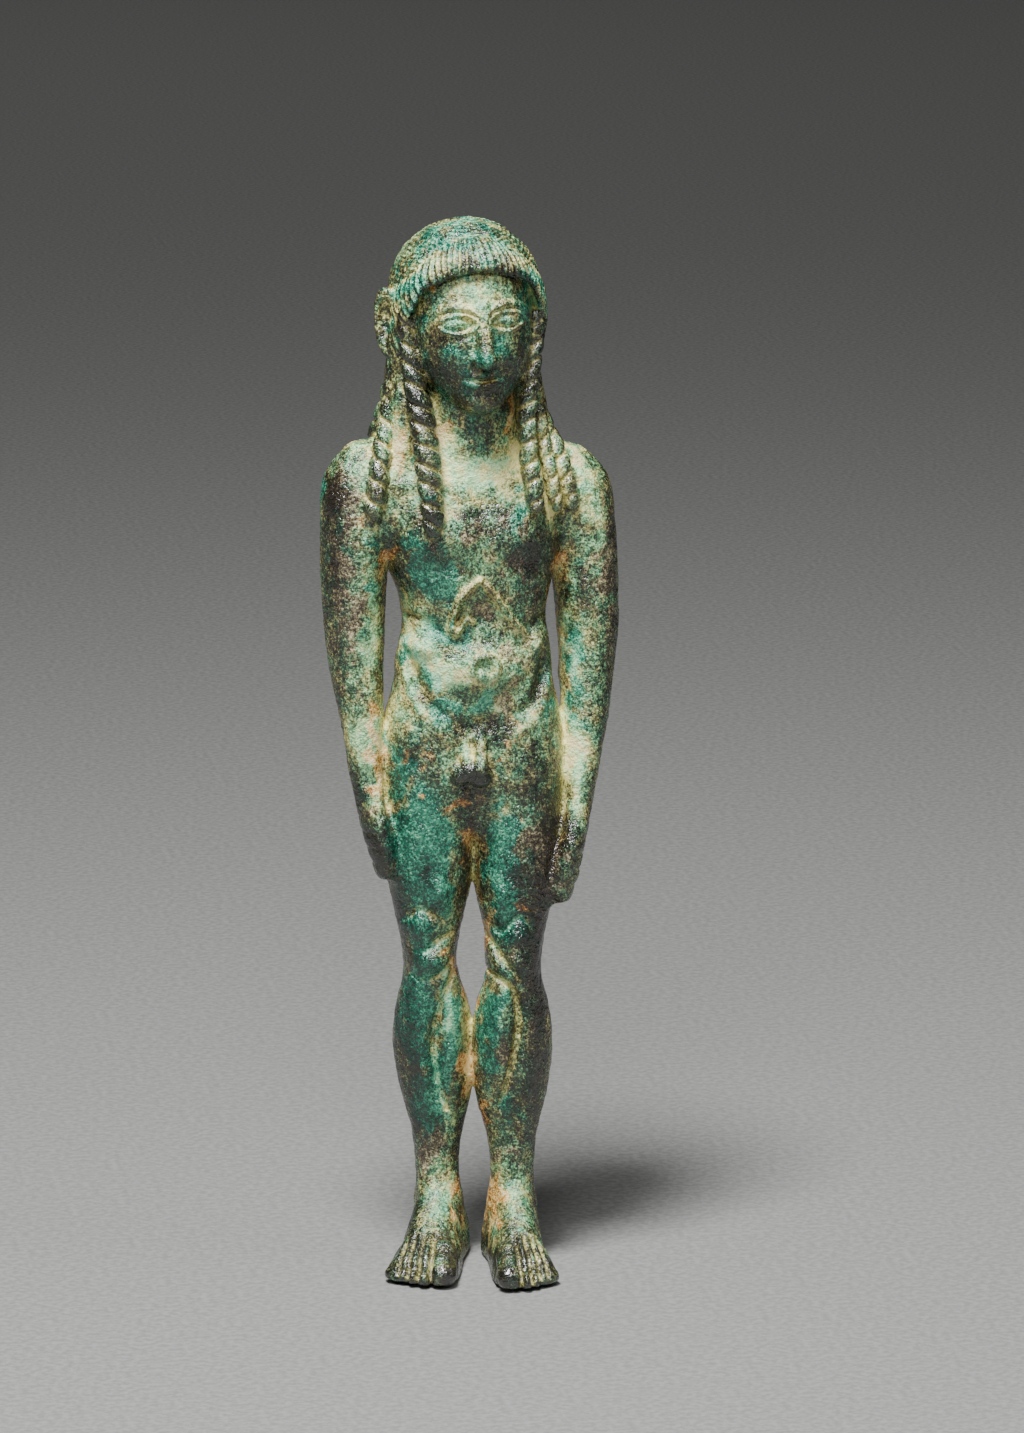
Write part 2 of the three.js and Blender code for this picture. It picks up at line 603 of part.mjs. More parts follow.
// The whole youth. Above the hips the body turns a little one way, below them the other, and it
// bows a little to his left at the waist.
const calfContact = 22.5;
const bow = (z) => 0.28 * bump(z - 80, 20) - 0.2 * bump(z - 32, 14);
function youth(worldX, y0, z) {
  const turn = degToRad(legTurn + (headTurn - legTurn) * smoothstep(z, 46, 98));
  const x0 = worldX - bow(z);
  const x = x0 * Math.cos(turn) + y0 * Math.sin(turn);
  const y = y0 * Math.cos(turn) - x0 * Math.sin(turn);
  let d = torso(x, y, z);
  d = smoothMin(d, neckColumn(x, y, z), 2.2);
  // Thighs join the trunk softly and meet each other in a crease
  const advance = leftLegAdvance * (1 - smoothstep(z, 20, 62));
  const rightLeg = leg(-x, y, z, "right");
  const pressed = 0.35 + 0.5 * bump(z - calfContact, 2.5);
  let legs = smoothMin(rightLeg, leg(x, y + advance, z, "left"), pressed);
  // Behind, the thighs still touch a little below the front of the crotch
  legs = smoothMin(legs, strut(x, y, z, [-0.3, 2.4, 58], [-0.3, 3, 48.6], 1.6, 0.7), 0.8);
  const seat = smoothstep(z, crotchLevel, 66);
  d = smoothMin(d, legs, 0.4 + 2.4 * seat);
  if (y > 0) d += 1.1 * bump(x, 0.9) * bump(z - 61, 5.5);
  d = smoothMin(d, loins(x, y, z), 0.4);
  const feet = ["right", "left"].map((side) => {
    const sign = side === "left" ? 1 : -1;
    const splay = degToRad(footSplay[side]);
    const px = sign * x - 4.45;
    const py = -(y - 0.5) - (side === "left" ? leftLegAdvance : 0);
    const across = px * Math.cos(splay) - py * Math.sin(splay);
    const ahead = px * Math.sin(splay) + py * Math.cos(splay);
    return foot(across, ahead, z, footBreadth[side]);
  });
  d = smoothMin(d, Math.min(...feet), 1.2);
  // Arms grow out of the shoulders, and only touch the hips and thighs
  const grown = 0.5 + 2.6 * smoothstep(z, 86, 95) + 1.1 * (1 - smoothstep(z, 47, 54));
  d = smoothMin(d, Math.min(arm(-x, y, z, "right"), arm(x, y, z, "left")), grown);
  d = smoothMin(d, hairMass(x, y, z), 0.5);
  for (const each of locks) d = smoothMin(d, lock(each, x, y, z), 0.3);
  d = smoothMin(d, head(x, y, z), 0.4);
  return Math.max(d, -z);
}

// The surface. The grid reaches past the arms, the toes and the back of the hair, and its lines are
// closer together where the form is finer.
const reachAcross = Math.max(...armStations.map(([, x, , half]) => x + half)) + rightWristOut + gridMargin;
const reachAhead = Math.max(...toes.map(({ reach }) => reach)) + leftLegAdvance + gridMargin;
const reachBehind = hairCentre[1] + hairRadii[1] + gridMargin;
const headBreadth = 2 * hairRadii[0];
const faceFront = -10.5;
const chestFront = -3;

function gridLines(low, high, stepAt) {
  const lines = [low];
  while (lines.at(-1) < high) lines.push(lines.at(-1) + stepAt(lines.at(-1)));
  return lines;
}

// Closes hollows that nothing reaches from outside, so that the casting is solid.
function fillHollows(values, strides) {
  const reached = new Uint8Array(values.length);
  const open = [0];
  reached[0] = 1;
  while (open.length) {
    const n = open.pop();
    for (const step of strides)
      for (const m of [n - step, n + step])
        if (m >= 0 && m < values.length && !reached[m] && values[m] > 0) {
          reached[m] = 1;
          open.push(m);
        }
  }
  values.forEach((value, n) => {
    if (value > 0 && !reached[n]) values[n] = -value;
  });
}

function polygonise(field) {
  const across = gridLines(-reachAcross, reachAcross, (x) =>
    Math.abs(x) < headBreadth / 2 ? gridFine : gridMiddle,
  );
  const along = gridLines(-reachAhead, reachBehind, (y) =>
    y > faceFront && y < chestFront ? gridFine : gridMiddle,
  );
  const up = gridLines(-gridMargin, crownLevel + gridMargin, (z) => {
    if (z < toeTopLevel || z > chinLevel - 2) return gridFine;
    return z > chestLevel ? gridMiddle : gridCoarse;
  });
  const [nx, ny, nz] = [across.length, along.length, up.length];
  const values = new Float32Array(nx * ny * nz);
  for (let k = 0, n = 0; k < nz; k++)
    for (let j = 0; j < ny; j++)
      for (let i = 0; i < nx; i++, n++) values[n] = field(across[i], along[j], up[k]) || 1e-6;
  fillHollows(values, [1, nx, nx * ny]);
  const points = [];
  const faces = [];
  const made = new Map();
  // Corners in the order that the case tables use, and the corners that each edge joins
  const corner = [0, 1, 1 + nx, nx, nx * ny, 1 + nx * ny, 1 + nx + nx * ny, nx + nx * ny];
  const ends = [0, 1, 1, 2, 3, 2, 0, 3, 4, 5, 5, 6, 7, 6, 4, 7, 0, 4, 1, 5, 2, 6, 3, 7];
  const placeOf = (n) => [across[n % nx], along[Math.floor(n / nx) % ny], up[Math.floor(n / nx / ny)]];
  const pointOn = (cell, edge) => {
    const a = cell + corner[ends[2 * edge]];
    const b = cell + corner[ends[2 * edge + 1]];
    const key = a * 8 * nx * ny + (b - a);
    if (!made.has(key)) {
      const t = clamp(values[a] / (values[a] - values[b]), 0.02, 0.98);
      const p = placeOf(a);
      const q = placeOf(b);
      made.set(key, points.length);
      points.push(p.map((v, axis) => v + (q[axis] - v) * t));
    }
    return made.get(key);
  };
  for (let k = 0; k < nz - 1; k++)
    for (let j = 0; j < ny - 1; j++)
      for (let i = 0; i < nx - 1; i++) {
        const cell = (k * ny + j) * nx + i;
        let kind = 0;
        for (let c = 0; c < 8; c++) if (values[cell + corner[c]] > 0) kind |= 1 << c;
        if (!edgeTable[kind]) continue;
        for (let t = kind * 16; triTable[t] >= 0; t += 3)
          faces.push([0, 1, 2].map((v) => pointOn(cell, triTable[t + v])));
      }
  return { points, faces };
}

// Finer forms count for more when the surface is thinned. The first region that holds a point is
// used: its lowest and highest level, how far forward it starts, and its reach from the midline.
const finerRegions = [
  { low: chinLevel - 1, high: fringeApex, front: -4.5, inside: fringeCorner, weight: 9 },
  { low: fringeApex - 3, weight: 2.4 },
  { low: chestLevel, front: -2, weight: 2.4 },
  { low: chestLevel, weight: 1.1 },
  { low: lapLevel, front: -3.5, inside: 10, weight: 6 },
  { low: kneeLevel - 7, high: kneeLevel + 5, front: -2, weight: 3 },
  { low: crotchLevel, high: lapLevel + 1, outside: 9, weight: 2.5 },
  { high: toeTopLevel, front: -5, weight: 3 },
  { weight: 1 },
];
function importance([x, y, z]) {
  const side = Math.abs(x);
  return finerRegions.find(
    ({ low = -Infinity, high = Infinity, front = Infinity, inside = Infinity, outside = -1 }) =>
      z > low && z < high && y < front && side < inside && side > outside,
  ).weight;
}

// A heap that gives the cheapest entry first.
class Heap {
  items = [];
  push(item) {
    const a = this.items;
    let i = a.push(item) - 1;
    while (i > 0 && a[(i - 1) >> 1].cost > item.cost) {
      a[i] = a[(i - 1) >> 1];
      i = (i - 1) >> 1;
    }
    a[i] = item;
  }
  pop() {
    const a = this.items;
    const first = a[0];
    const last = a.pop();
    if (!a.length) return first;
    let i = 0;
    for (;;) {
      let c = 2 * i + 1;
      if (c >= a.length) break;
      if (c + 1 < a.length && a[c + 1].cost < a[c].cost) c++;
      if (a[c].cost >= last.cost) break;
      a[i] = a[c];
      i = c;
    }
    a[i] = last;
    return first;
  }
}

const crossOf = (p, q, r) => {
  const [ax, ay, az] = [q[0] - p[0], q[1] - p[1], q[2] - p[2]];
  const [bx, by, bz] = [r[0] - p[0], r[1] - p[1], r[2] - p[2]];
  return [ay * bz - az * by, az * bx - ax * bz, ax * by - ay * bx];
};
const dot = (a, b) => a[0] * b[0] + a[1] * b[1] + a[2] * b[2];

// Joins the ends of the edge that changes the form least, until few enough triangles are left.
// The error of a place is its summed squared distance from the planes of the triangles around it.
function thin({ points, faces }, target) {
  const around = points.map(() => new Set());
  const alive = faces.map(() => true);
  const quadrics = points.map(() => new Float64Array(10));
  faces.forEach((face, f) => {
    const [p, q, r] = face.map((v) => points[v]);
    const normal = crossOf(p, q, r);
    const area = Math.hypot(...normal);
    face.forEach((v) => around[v].add(f));
    if (area < 1e-9) return;
    const [a, b, c] = normal.map((v) => v / area);
    const d = -dot([a, b, c], p);
    const terms = [a * a, a * b, a * c, a * d, b * b, b * c, b * d, c * c, c * d, d * d];
    face.forEach((v) => {
      const weight = (area / 6) * importance(points[v]);
      terms.forEach((term, i) => (quadrics[v][i] += weight * term));
    });
  });
  const errorAt = (m, [x, y, z]) =>
    m[0] * x * x + 2 * m[1] * x * y + 2 * m[2] * x * z + 2 * m[3] * x + m[4] * y * y +
    2 * m[5] * y * z + 2 * m[6] * y + m[7] * z * z + 2 * m[8] * z + m[9];
  const best = (u, v) => {
    const m = quadrics[u].map((value, i) => value + quadrics[v][i]);
    const middle = points[u].map((value, i) => (value + points[v][i]) / 2);
    let found = { place: middle, error: errorAt(m, middle) };
    for (const place of [points[u], points[v]]) {
      const error = errorAt(m, place);
      if (error < found.error) found = { place, error };
    }
    // The place where the error is least, if it is well defined and close by
    const c0 = [m[0], m[1], m[2]];
    const c1 = [m[1], m[4], m[5]];
    const c2 = [m[2], m[5], m[7]];
    const n = crossOf([0, 0, 0], c1, c2);
    const det = dot(c0, n);
    const trace = m[0] + m[4] + m[7];
    if (Math.abs(det) > 1e-4 * trace ** 3) {
      const rest = [-m[3], -m[6], -m[8]];
      const place = [
        dot(rest, n) / det,
        dot(c0, crossOf([0, 0, 0], rest, c2)) / det,
        dot(c0, crossOf([0, 0, 0], c1, rest)) / det,
      ];
      const length = Math.hypot(...points[u].map((value, i) => value - points[v][i]));
      const away = Math.hypot(...place.map((value, i) => value - middle[i]));
      const error = errorAt(m, place);
      if (away < length && error < found.error) found = { place, error };
    }
    return found;
  };
  const neighbours = (v) => {
    const found = new Set();
    for (const f of around[v]) for (const w of faces[f]) if (w !== v) found.add(w);
    return found;
  };
  const stamp = new Uint32Array(points.length);
  const heap = new Heap();
  const offer = (u, v) => {
    const { place, error } = best(u, v);
    const length = Math.hypot(...points[u].map((value, i) => value - points[v][i]));
    const cost = Math.max(error, 0) + 1e-5 * length ** 2;
    heap.push({ cost, u, v, place, su: stamp[u], sv: stamp[v] });
  };
  points.forEach((_, u) => neighbours(u).forEach((v) => u < v && offer(u, v)));
  // True if moving a vertex turns one of its triangles over or makes it a sliver
  const spoils = (v, other, place) => {
    for (const f of around[v]) {
      if (faces[f].includes(other)) continue;
      const before = crossOf(...faces[f].map((w) => points[w]));
      const after = crossOf(...faces[f].map((w) => (w === v ? place : points[w])));
      const [m, n] = [Math.hypot(...before), Math.hypot(...after)];
      if (n < 1e-4 || dot(before, after) < 0.25 * m * n) return true;
    }
    return false;
  };
  let count = faces.length;
  while (count > target && heap.items.length) {
    const { u, v, place, su, sv } = heap.pop();
    if (stamp[u] !== su || stamp[v] !== sv || !around[u].size || !around[v].size) continue;
    const shared = [...neighbours(u)].filter((w) => neighbours(v).has(w));
    if (shared.length !== 2 || spoils(u, v, place) || spoils(v, u, place)) continue;
    for (const f of [...around[v]]) {
      if (faces[f].includes(u)) {
        alive[f] = false;
        count--;
        faces[f].forEach((w) => around[w].delete(f));
      } else {
        faces[f] = faces[f].map((w) => (w === v ? u : w));
        around[u].add(f);
      }
    }
    around[v].clear();
    points[u] = place;
    quadrics[v].forEach((value, i) => (quadrics[u][i] += value));
    stamp[u]++;
    stamp[v]++;
    for (const w of neighbours(u)) offer(u, w);
  }
  return { points, faces: faces.filter((_, f) => alive[f]) };
}

function youthGeometry() {
  const { points, faces } = thin(polygonise(youth), keptTriangles);
  // The soles are ground flat
  for (const point of points) if (point[2] < soleGrind) point[2] = 0;
  const scale = height / drawnHeight;
  const used = new THREE.BufferGeometry();
  used.setAttribute(
    "position",
    new THREE.Float32BufferAttribute(faces.flatMap((face) => face.flatMap((v) => points[v])), 3),
  );
  used.scale(scale, scale, scale);
  const merged = mergeVertices(used, 1e-4);
  merged.computeVertexNormals();
  return merged;
}

const bronze = new THREE.MeshStandardMaterial({
  color: bronzeGreen,
  roughness: bronzeRoughness,
  metalness: bronzeMetalness,
});

const statuette = new THREE.Mesh(youthGeometry(), bronze);
statuette.name = "kouros_figure";
statuette.geometry.computeBoundingBox();
const middle = statuette.geometry.boundingBox.getCenter(new THREE.Vector3());
statuette.position.set(-middle.x, -middle.y, -statuette.geometry.boundingBox.min.z);

const group = new THREE.Group();
group.add(statuette);

export default group;
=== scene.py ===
"""A small standing youth, solid cast in bronze, in the archaic Greek manner, with a green patina.

The figure is one field, negative inside the bronze and positive outside, in drawn millimetres: the
same form as the CAD solid, with finer carving. The field is turned into a mesh, set in the CAD
node's box and given a node-based patina that is led by attributes measured on the form, some of
which paint light and shading into its colour.
Drawn frame: +Z up, the youth faces -Y, the left hand is at +X, and the height is 130 mm.
"""

import math

import bpy
import numpy as np
from mathutils import Matrix, Vector


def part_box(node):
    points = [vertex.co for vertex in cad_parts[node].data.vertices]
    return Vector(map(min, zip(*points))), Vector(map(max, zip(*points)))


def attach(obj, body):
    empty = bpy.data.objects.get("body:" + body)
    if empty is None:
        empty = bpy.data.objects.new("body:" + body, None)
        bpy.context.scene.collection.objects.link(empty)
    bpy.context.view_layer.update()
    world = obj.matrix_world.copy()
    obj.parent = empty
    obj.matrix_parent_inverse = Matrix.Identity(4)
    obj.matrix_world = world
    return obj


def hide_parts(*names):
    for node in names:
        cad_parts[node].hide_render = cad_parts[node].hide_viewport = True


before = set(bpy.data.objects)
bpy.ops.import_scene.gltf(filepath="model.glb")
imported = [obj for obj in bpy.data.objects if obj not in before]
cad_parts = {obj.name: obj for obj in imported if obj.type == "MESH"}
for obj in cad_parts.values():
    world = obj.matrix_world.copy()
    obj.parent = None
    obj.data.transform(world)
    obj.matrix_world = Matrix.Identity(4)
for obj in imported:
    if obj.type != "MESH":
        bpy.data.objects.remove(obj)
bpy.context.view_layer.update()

MM = 0.001
NODE = "kouros_figure"
# The distance given to points that are well away from a form, and the least number divided by
FAR = 50.0
TINY = 1e-6

# Pose, in degrees and drawn millimetres.
HEAD_TURN = 4
LEG_TURN = -4
HEAD_ROLL = 2
LEFT_LEG_ADVANCE = 2.4
LEFT_SHOULDER_DROP = 1.2
LEFT_HAND_DROP = 3.4
RIGHT_SHOULDER_RISE = 0.45
RIGHT_WRIST_OUT = 0.4

# Levels that several parts share.
CROWN = 130
HEAD_CENTRE = 118.5
CHIN = 107
SHOULDER = 97.5
CROTCH = 47.5


# Small tools


def smooth_min(a, b, k):
    h = np.maximum(k - np.abs(a - b), 0) / k
    return np.minimum(a, b) - h * h * k / 4


def smooth_max(a, b, k):
    return -smooth_min(-a, -b, k)


def bump(distance, width):
    """1 at 0, falling to nothing a few widths away."""
    return np.exp(-((distance / width) ** 2))


def step(value, low, high):
    t = np.clip((value - low) / (high - low), 0, 1)
    return t * t * (3 - 2 * t)


def furrows(phase):
    """1 along a row of sharp furrows at whole phases, 0 halfway between them."""
    return 1 - np.abs(np.sin(np.pi * phase))


def where_near(d, reach, change, *point):
    """Changes the distances that are under reach, and leaves the rest."""
    near = d < reach
    if near.any():
        d[near] = change(d[near], *(p[near] for p in point))
    return d


def only_at(near, form, *point):
    """The form's distances at the points marked near, and a far distance at the rest."""
    d = np.full(near.shape, FAR)
    if near.any():
        d[near] = form(*(p[near] for p in point))
    return d


def profile(stations):
    """Stations [level, value, ...] in rising order, read as smooth curves through them."""
    rows = np.array(stations, float)
    levels, values = rows[:, 0], rows[:, 1:]
    count = len(rows)
    before = np.maximum(np.arange(count) - 1, 0)
    after = np.minimum(np.arange(count) + 1, count - 1)
    grades = (values[after] - values[before]) / (levels[after] - levels[before])[:, None]

    def at(level):
        level = np.clip(level, levels[0], levels[-1])
        i = np.clip(np.searchsorted(levels, level, side="right") - 1, 0, count - 2)
        span = levels[i + 1] - levels[i]
        t = (level - levels[i]) / span
        s = 1 - t
        return (
            values[i].T * (1 + 2 * t) * s * s
            + grades[i].T * span * t * s * s
            + values[i + 1].T * t * t * (3 - 2 * t)
            - grades[i + 1].T * span * t * t * s
        )

    return at


def column(stations, power=2.0, rim=0.8):
    """An upright limb: stations [level, centre x, centre y, half width, front depth, back depth]."""
    at = profile(stations)
    rows = np.array(stations, float)
    low, high = rows[0, 0], rows[-1, 0]
    reach = 3.0
    west, east = (rows[:, 1] - rows[:, 3]).min() - reach, (rows[:, 1] + rows[:, 3]).max() + reach
    south, north = (rows[:, 2] - rows[:, 4]).min() - reach, (rows[:, 2] + rows[:, 5]).max() + reach

    def form(x, y, z):
        cx, cy, a, front, back = at(z)
        dy = y - cy
        b = np.where(dy < 0, front, back)
        u = np.maximum(np.abs(x - cx) / a, TINY)
        v = np.maximum(np.abs(dy) / b, TINY)
        share = (u**power + v**power) ** (1 / power)
        grade = np.hypot(u ** (power - 1) / a, v ** (power - 1) / b) * share ** (1 - power)
        return smooth_max((share - 1) / grade, np.maximum(low - z, z - high), rim)

    def distance(x, y, z):
        near = (z > low - reach) & (z < high + reach) & (x > west) & (x < east)
        near &= (y > south) & (y < north)
        return only_at(near, form, x, y, z)

    return distance


def ellipsoid(x, y, z, centre, radii):
    px, py, pz = x - centre[0], y - centre[1], z - centre[2]
    k0 = np.sqrt((px / radii[0]) ** 2 + (py / radii[1]) ** 2 + (pz / radii[2]) ** 2)
    k1 = np.sqrt(
        (px / radii[0] ** 2) ** 2 + (py / radii[1] ** 2) ** 2 + (pz / radii[2] ** 2) ** 2
    )
    return k0 * (k0 - 1) / np.maximum(k1, TINY)


def strut(x, y, z, a, b, r, s):
    """The distance to a strut whose radius goes from r at a to s at b."""
    dx, dy, dz = b[0] - a[0], b[1] - a[1], b[2] - a[2]
    px, py, pz = x - a[0], y - a[1], z - a[2]
    along = np.clip((px * dx + py * dy + pz * dz) / (dx * dx + dy * dy + dz * dz), 0, 1)
    off = np.sqrt((px - dx * along) ** 2 + (py - dy * along) ** 2 + (pz - dz * along) ** 2)
    return off - (r + (s - r) * along)


def smooth_line(points, steps=4):
    """Points along a smooth curve through the given ones."""
    p = np.array(points, float)
    p = np.vstack([2 * p[0] - p[1], p, 2 * p[-1] - p[-2]])
    t = np.linspace(0, 1, steps, endpoint=False)[:, None]
    parts = []
    for a, b, c, d in zip(p[:-3], p[1:-2], p[2:-1], p[3:]):
        parts.append(
            b + 0.5 * t * (c - a + t * (2 * a - 5 * b + 4 * c - d + t * (3 * (b - c) + d - a)))
        )
    return np.vstack(parts + [p[-2]])


def stroke(x, z, points, width, taper=0.0):
    """1 along a line drawn on the front in (x, z), falling off to its sides, thinner at its ends."""
    line = smooth_line(points)
    depth = np.zeros(x.shape)
    low, high = line.min(0) - 3 * width, line.max(0) + 3 * width
    near = (x > low[0]) & (x < high[0]) & (z > low[1]) & (z < high[1])
    if not near.any():
        return depth
    x, z = x[near], z[near]
    best = np.full(x.shape, np.inf)
    share = np.zeros(x.shape)
    last = len(line) - 1
    for i in range(last):
        dx, dz = line[i + 1] - line[i]
        along = np.clip(((x - line[i, 0]) * dx + (z - line[i, 1]) * dz) / (dx * dx + dz * dz), 0, 1)
        off = np.hypot(x - line[i, 0] - along * dx, z - line[i, 1] - along * dz)
        nearer = off < best
        best[nearer] = off[nearer]
        share[nearer] = (i + along[nearer]) / last
    ends = 1 - taper * np.abs(2 * share - 1) ** 2
    depth[near] = bump(best, width * ends) * ends
    return depth


def drawn(x, z, lines):
    """The sum of strokes, each (cut, width, taper, points): cuts sink and negative cuts rise."""
    return sum(cut * stroke(x, z, points, width, taper) for cut, width, taper, points in lines)


def swollen(x, z, swells):
    """The sum of soft oval rises, each (rise, x, z, half width, half height)."""
    return sum(
        rise * np.exp(-(((x - cx) / half_x) ** 2) - ((z - cz) / half_z) ** 2)
        for rise, cx, cz, half_x, half_z in swells
    )


def wavy(x, y, z, length, seed, count=22):
    """Smooth noise around 0 whose swells are about length across: a sum of plane waves."""
    draw = np.random.default_rng(seed)
    total = np.zeros(x.shape)
    for _ in range(count):
        way = draw.normal(size=3)
        way *= 2 * math.pi / length / np.linalg.norm(way) * draw.uniform(0.75, 1.25)
        total += np.sin(way[0] * x + way[1] * y + way[2] * z + draw.uniform(0, 2 * math.pi))
    return total / math.sqrt(count / 2)


# Torso, neck and hair mass

torso_column = column(
    [
        [54, 0, 0, 7.2, 4.2, 4.4],
        [58, 0, 0, 9.2, 5.0, 5.8],
        [62, 0, 0, 10.4, 5.6, 7.0],
        [66, 0, 0, 10.7, 5.9, 7.4],
        [69.8, 0, 0, 10.2, 6.0, 6.8],
        [72.6, 0, 0, 9.7, 6.1, 5.8],
        [76, 0, 0, 9.6, 6.1, 4.9],
        [80, 0.15, 0, 8.8, 5.7, 4.5],
        [84, 0.15, 0, 9.2, 6.0, 5.0],
        [88, 0, 0, 10.4, 6.5, 6.0],
        [92, 0, 0.1, 11.0, 6.7, 6.8],
        [96, 0, 0.4, 11.6, 6.1, 7.0],
        [99, 0, 0.8, 12.2, 5.3, 6.6],
        [101.5, 0, 1.2, 11.8, 4.4, 5.6],
        [103.8, 0, 1.4, 8.6, 3.8, 4.8],
    ],
    power=2.35,
    rim=2.2,
)

neck_column = column(
    [
        [98, 0, 0.2, 7.0, 4.9, 5.2],
        [103, 0, 0.0, 6.1, 4.9, 5.6],
        [107, 0, -0.2, 5.8, 4.9, 6.0],
        [113, 0, -0.2, 6.0, 4.6, 6.4],
    ]
)

NAVEL = 76
NAVEL_RADIUS = 1.55
TRUNK_LINES = [
    # Rib arch, with a hook at its right end
    (-0.85, 0.42, 0.3, [(-3.8, 80.4), (-3.5, 82.1), (-2.8, 84.3), (-1.6, 85.7), (-0.3, 86.8)]),
    (-0.85, 0.42, 0.3, [(-0.5, 86.8), (0.5, 86), (1.4, 84.9), (2.9, 82.8), (4.3, 81), (5.5, 79.8)]),
    (-0.7, 0.34, 0.2, [(-3.4, 81.0), (-3.1, 80.1), (-2.5, 80.9), (-1.8, 81.8), (-0.9, 81.5)]),
    (0.5, 0.4, 0.4, [(-2.9, 81.2), (-2.4, 82.4), (-1.6, 83.6)]),
    # Folds of the groin, and the edges of the hips outside them
    (0.7, 0.7, 0.4, [(-8.7, 77.8), (-7.7, 75.2), (-7.0, 73.0), (-5.9, 71.2), (-3.8, 69.9)]),
    (0.7, 0.7, 0.4, [(8.0, 78.0), (7.9, 75.3), (7.4, 73.0), (6.4, 71.1), (4.2, 69.8)]),
    (-0.5, 0.7, 0.5, [(-9.3, 75.8), (-8.6, 73.0), (-7.0, 70.3), (-4.8, 68.2), (-3.2, 66.4)]),
    (-0.5, 0.7, 0.5, [(9.2, 75.0), (8.5, 71.8), (7.0, 69.4), (5.0, 67.8), (3.4, 66.2)]),
    (0.4, 0.7, 0.5, [(-8.6, 82.2), (-6.0, 81.3), (-4.2, 79.6)]),
    (0.4, 0.7, 0.5, [(8.4, 81.6), (6.4, 80.7), (4.6, 79.4)]),
]
TRUNK_SWELLS = [
    (-0.7, 0.3, 82.6, 2.2, 1.8),
    (0.9, -7.2, 78.3, 1.7, 1.4),
    (0.7, 7.8, 78.3, 1.2, 1.6),
    (-0.6, 0.2, 68.8, 2.8, 1.1),
    (0.65, -5.4, 92.6, 3.4, 3.0),
    (0.6, 4.8, 92.6, 3.4, 3.0),
]


def carve_torso(d, x, y, z):
    side = np.abs(x)
    fold = 88.6 - 0.06 * (side - 4.4) ** 2
    ahead = drawn(x, z, TRUNK_LINES) - swollen(x, z, TRUNK_SWELLS)
    ahead += 0.45 * bump(z - fold, 1.3) * bump(side - 4.8, 3.4)
    ahead += 0.3 * bump(side, 1.1) * step(z, 84, 90) * (1 - step(z, 96, 101))
    # Collarbones and the pit of the neck
    ahead -= 0.3 * bump(z - 99.2 + 0.08 * side, 0.9) * step(side, 1.5, 4)
    ahead += 0.6 * bump(side, 1.4) * bump(z - 99.6, 1.5)
    # The navel's raised ring, open below, with a dot inside
    from_navel = np.hypot(x - 0.3, z - NAVEL)
    ahead -= 0.55 * bump(from_navel - NAVEL_RADIUS, 0.4) * step(z, NAVEL - 1.8, NAVEL)
    ahead += 0.45 * bump(from_navel, 0.95)
    ahead -= 0.6 * bump(np.hypot(x - 0.2, 0.7 * (z - NAVEL + 0.7)), 0.45)
    # The spine's furrow and the shoulder blades
    behind = 0.75 * bump(side, 1.6) * step(z, 68, 74) * (1 - step(z, 92, 99))
    behind -= 0.55 * bump(z - 91, 3.4) * bump(side - 5.6, 2.6)
    return d + np.where(y < 0, ahead, behind)


def torso(x, y, z):
    d = torso_column(x, y, z)
    near = (np.abs(d) < 3) & (y < 0) & (z > 66) & (z < 86)
    belly = ellipsoid(x[near], y[near], z[near], [0.3, -1.8, 75.4], [6.9, 5.6, 5.0])
    d[near] = smooth_min(d[near], belly, 0.5)
    return where_near(d, 3, carve_torso, x, y, z)


hair_mass_column = column(
    [
        [90.5, 0, 6.4, 6.4, 0.8, 0.9],
        [93, 0, 6.7, 8.2, 2.0, 1.8],
        [97, 0, 6.9, 9.8, 2.6, 2.3],
        [101, 0, 6.3, 11.3, 2.8, 2.6],
        [104, 0, 5.4, 11.1, 3.8, 3.0],
        [107, 0, 4.6, 10.3, 5.4, 3.6],
        [111, 0, 4.0, 9.35, 6.6, 4.6],
        [116, 0, 3.4, 8.9, 5.4, 5.8],
        [121, 0, 2.6, 8.6, 4.4, 7.0],
    ],
    power=2.3,
    rim=1.2,
)

side_hair = column(
    [
        [101, 8.8, 1.4, 1.5, 2.0, 3],
        [104, 8.5, 1.2, 1.8, 2.6, 3],
        [108, 7.8, 1.0, 1.8, 2.9, 3],
        [112, 7.4, 0.8, 1.7, 3.0, 3],
        [118, 7.5, 0.4, 1.5, 3.0, 3],
    ]
)
RIGHT_HAIR_OUT = 0.8

TRESS_WIDTH = 2.3
BEAD_HEIGHT = 2.5


def tress_relief(x, y, z):
    """Tresses down the back: upright furrows, each tress notched across like a string of beads."""
    fan = 1 + 0.035 * np.clip(112 - z, 0, 22)
    across = x / (TRESS_WIDTH * fan)
    tress = np.floor(across + 0.5)
    furrow = np.abs(across - tress) * 2
    notch = furrows(z / BEAD_HEIGHT + 0.5 * np.mod(tress, 2))
    return step(y, 2.5, 5) * (0.55 * furrow**3 + 0.42 * notch**2 - 0.15)


def hair_mass(x, y, z):
    beside = side_hair(np.where(x < 0, -x - RIGHT_HAIR_OUT, x), y, z)
    d = smooth_min(hair_mass_column(x, y, z), beside, 1)
    near = (x < -4) & (z > 94) & (z < 113)
    behind_locks = strut(x[near], y[near], z[near], [-9.0, -1.6, 98.5], [-8.1, -1.4, 109], 1.5, 1.3)
    d[near] = smooth_min(d[near], behind_locks, 1.2)
    return where_near(d, 2, lambda d, x, y, z: d + tress_relief(x, y, z), x, y, z)


# Limbs. Each is drawn for the figure's left side, with x away from the midline.

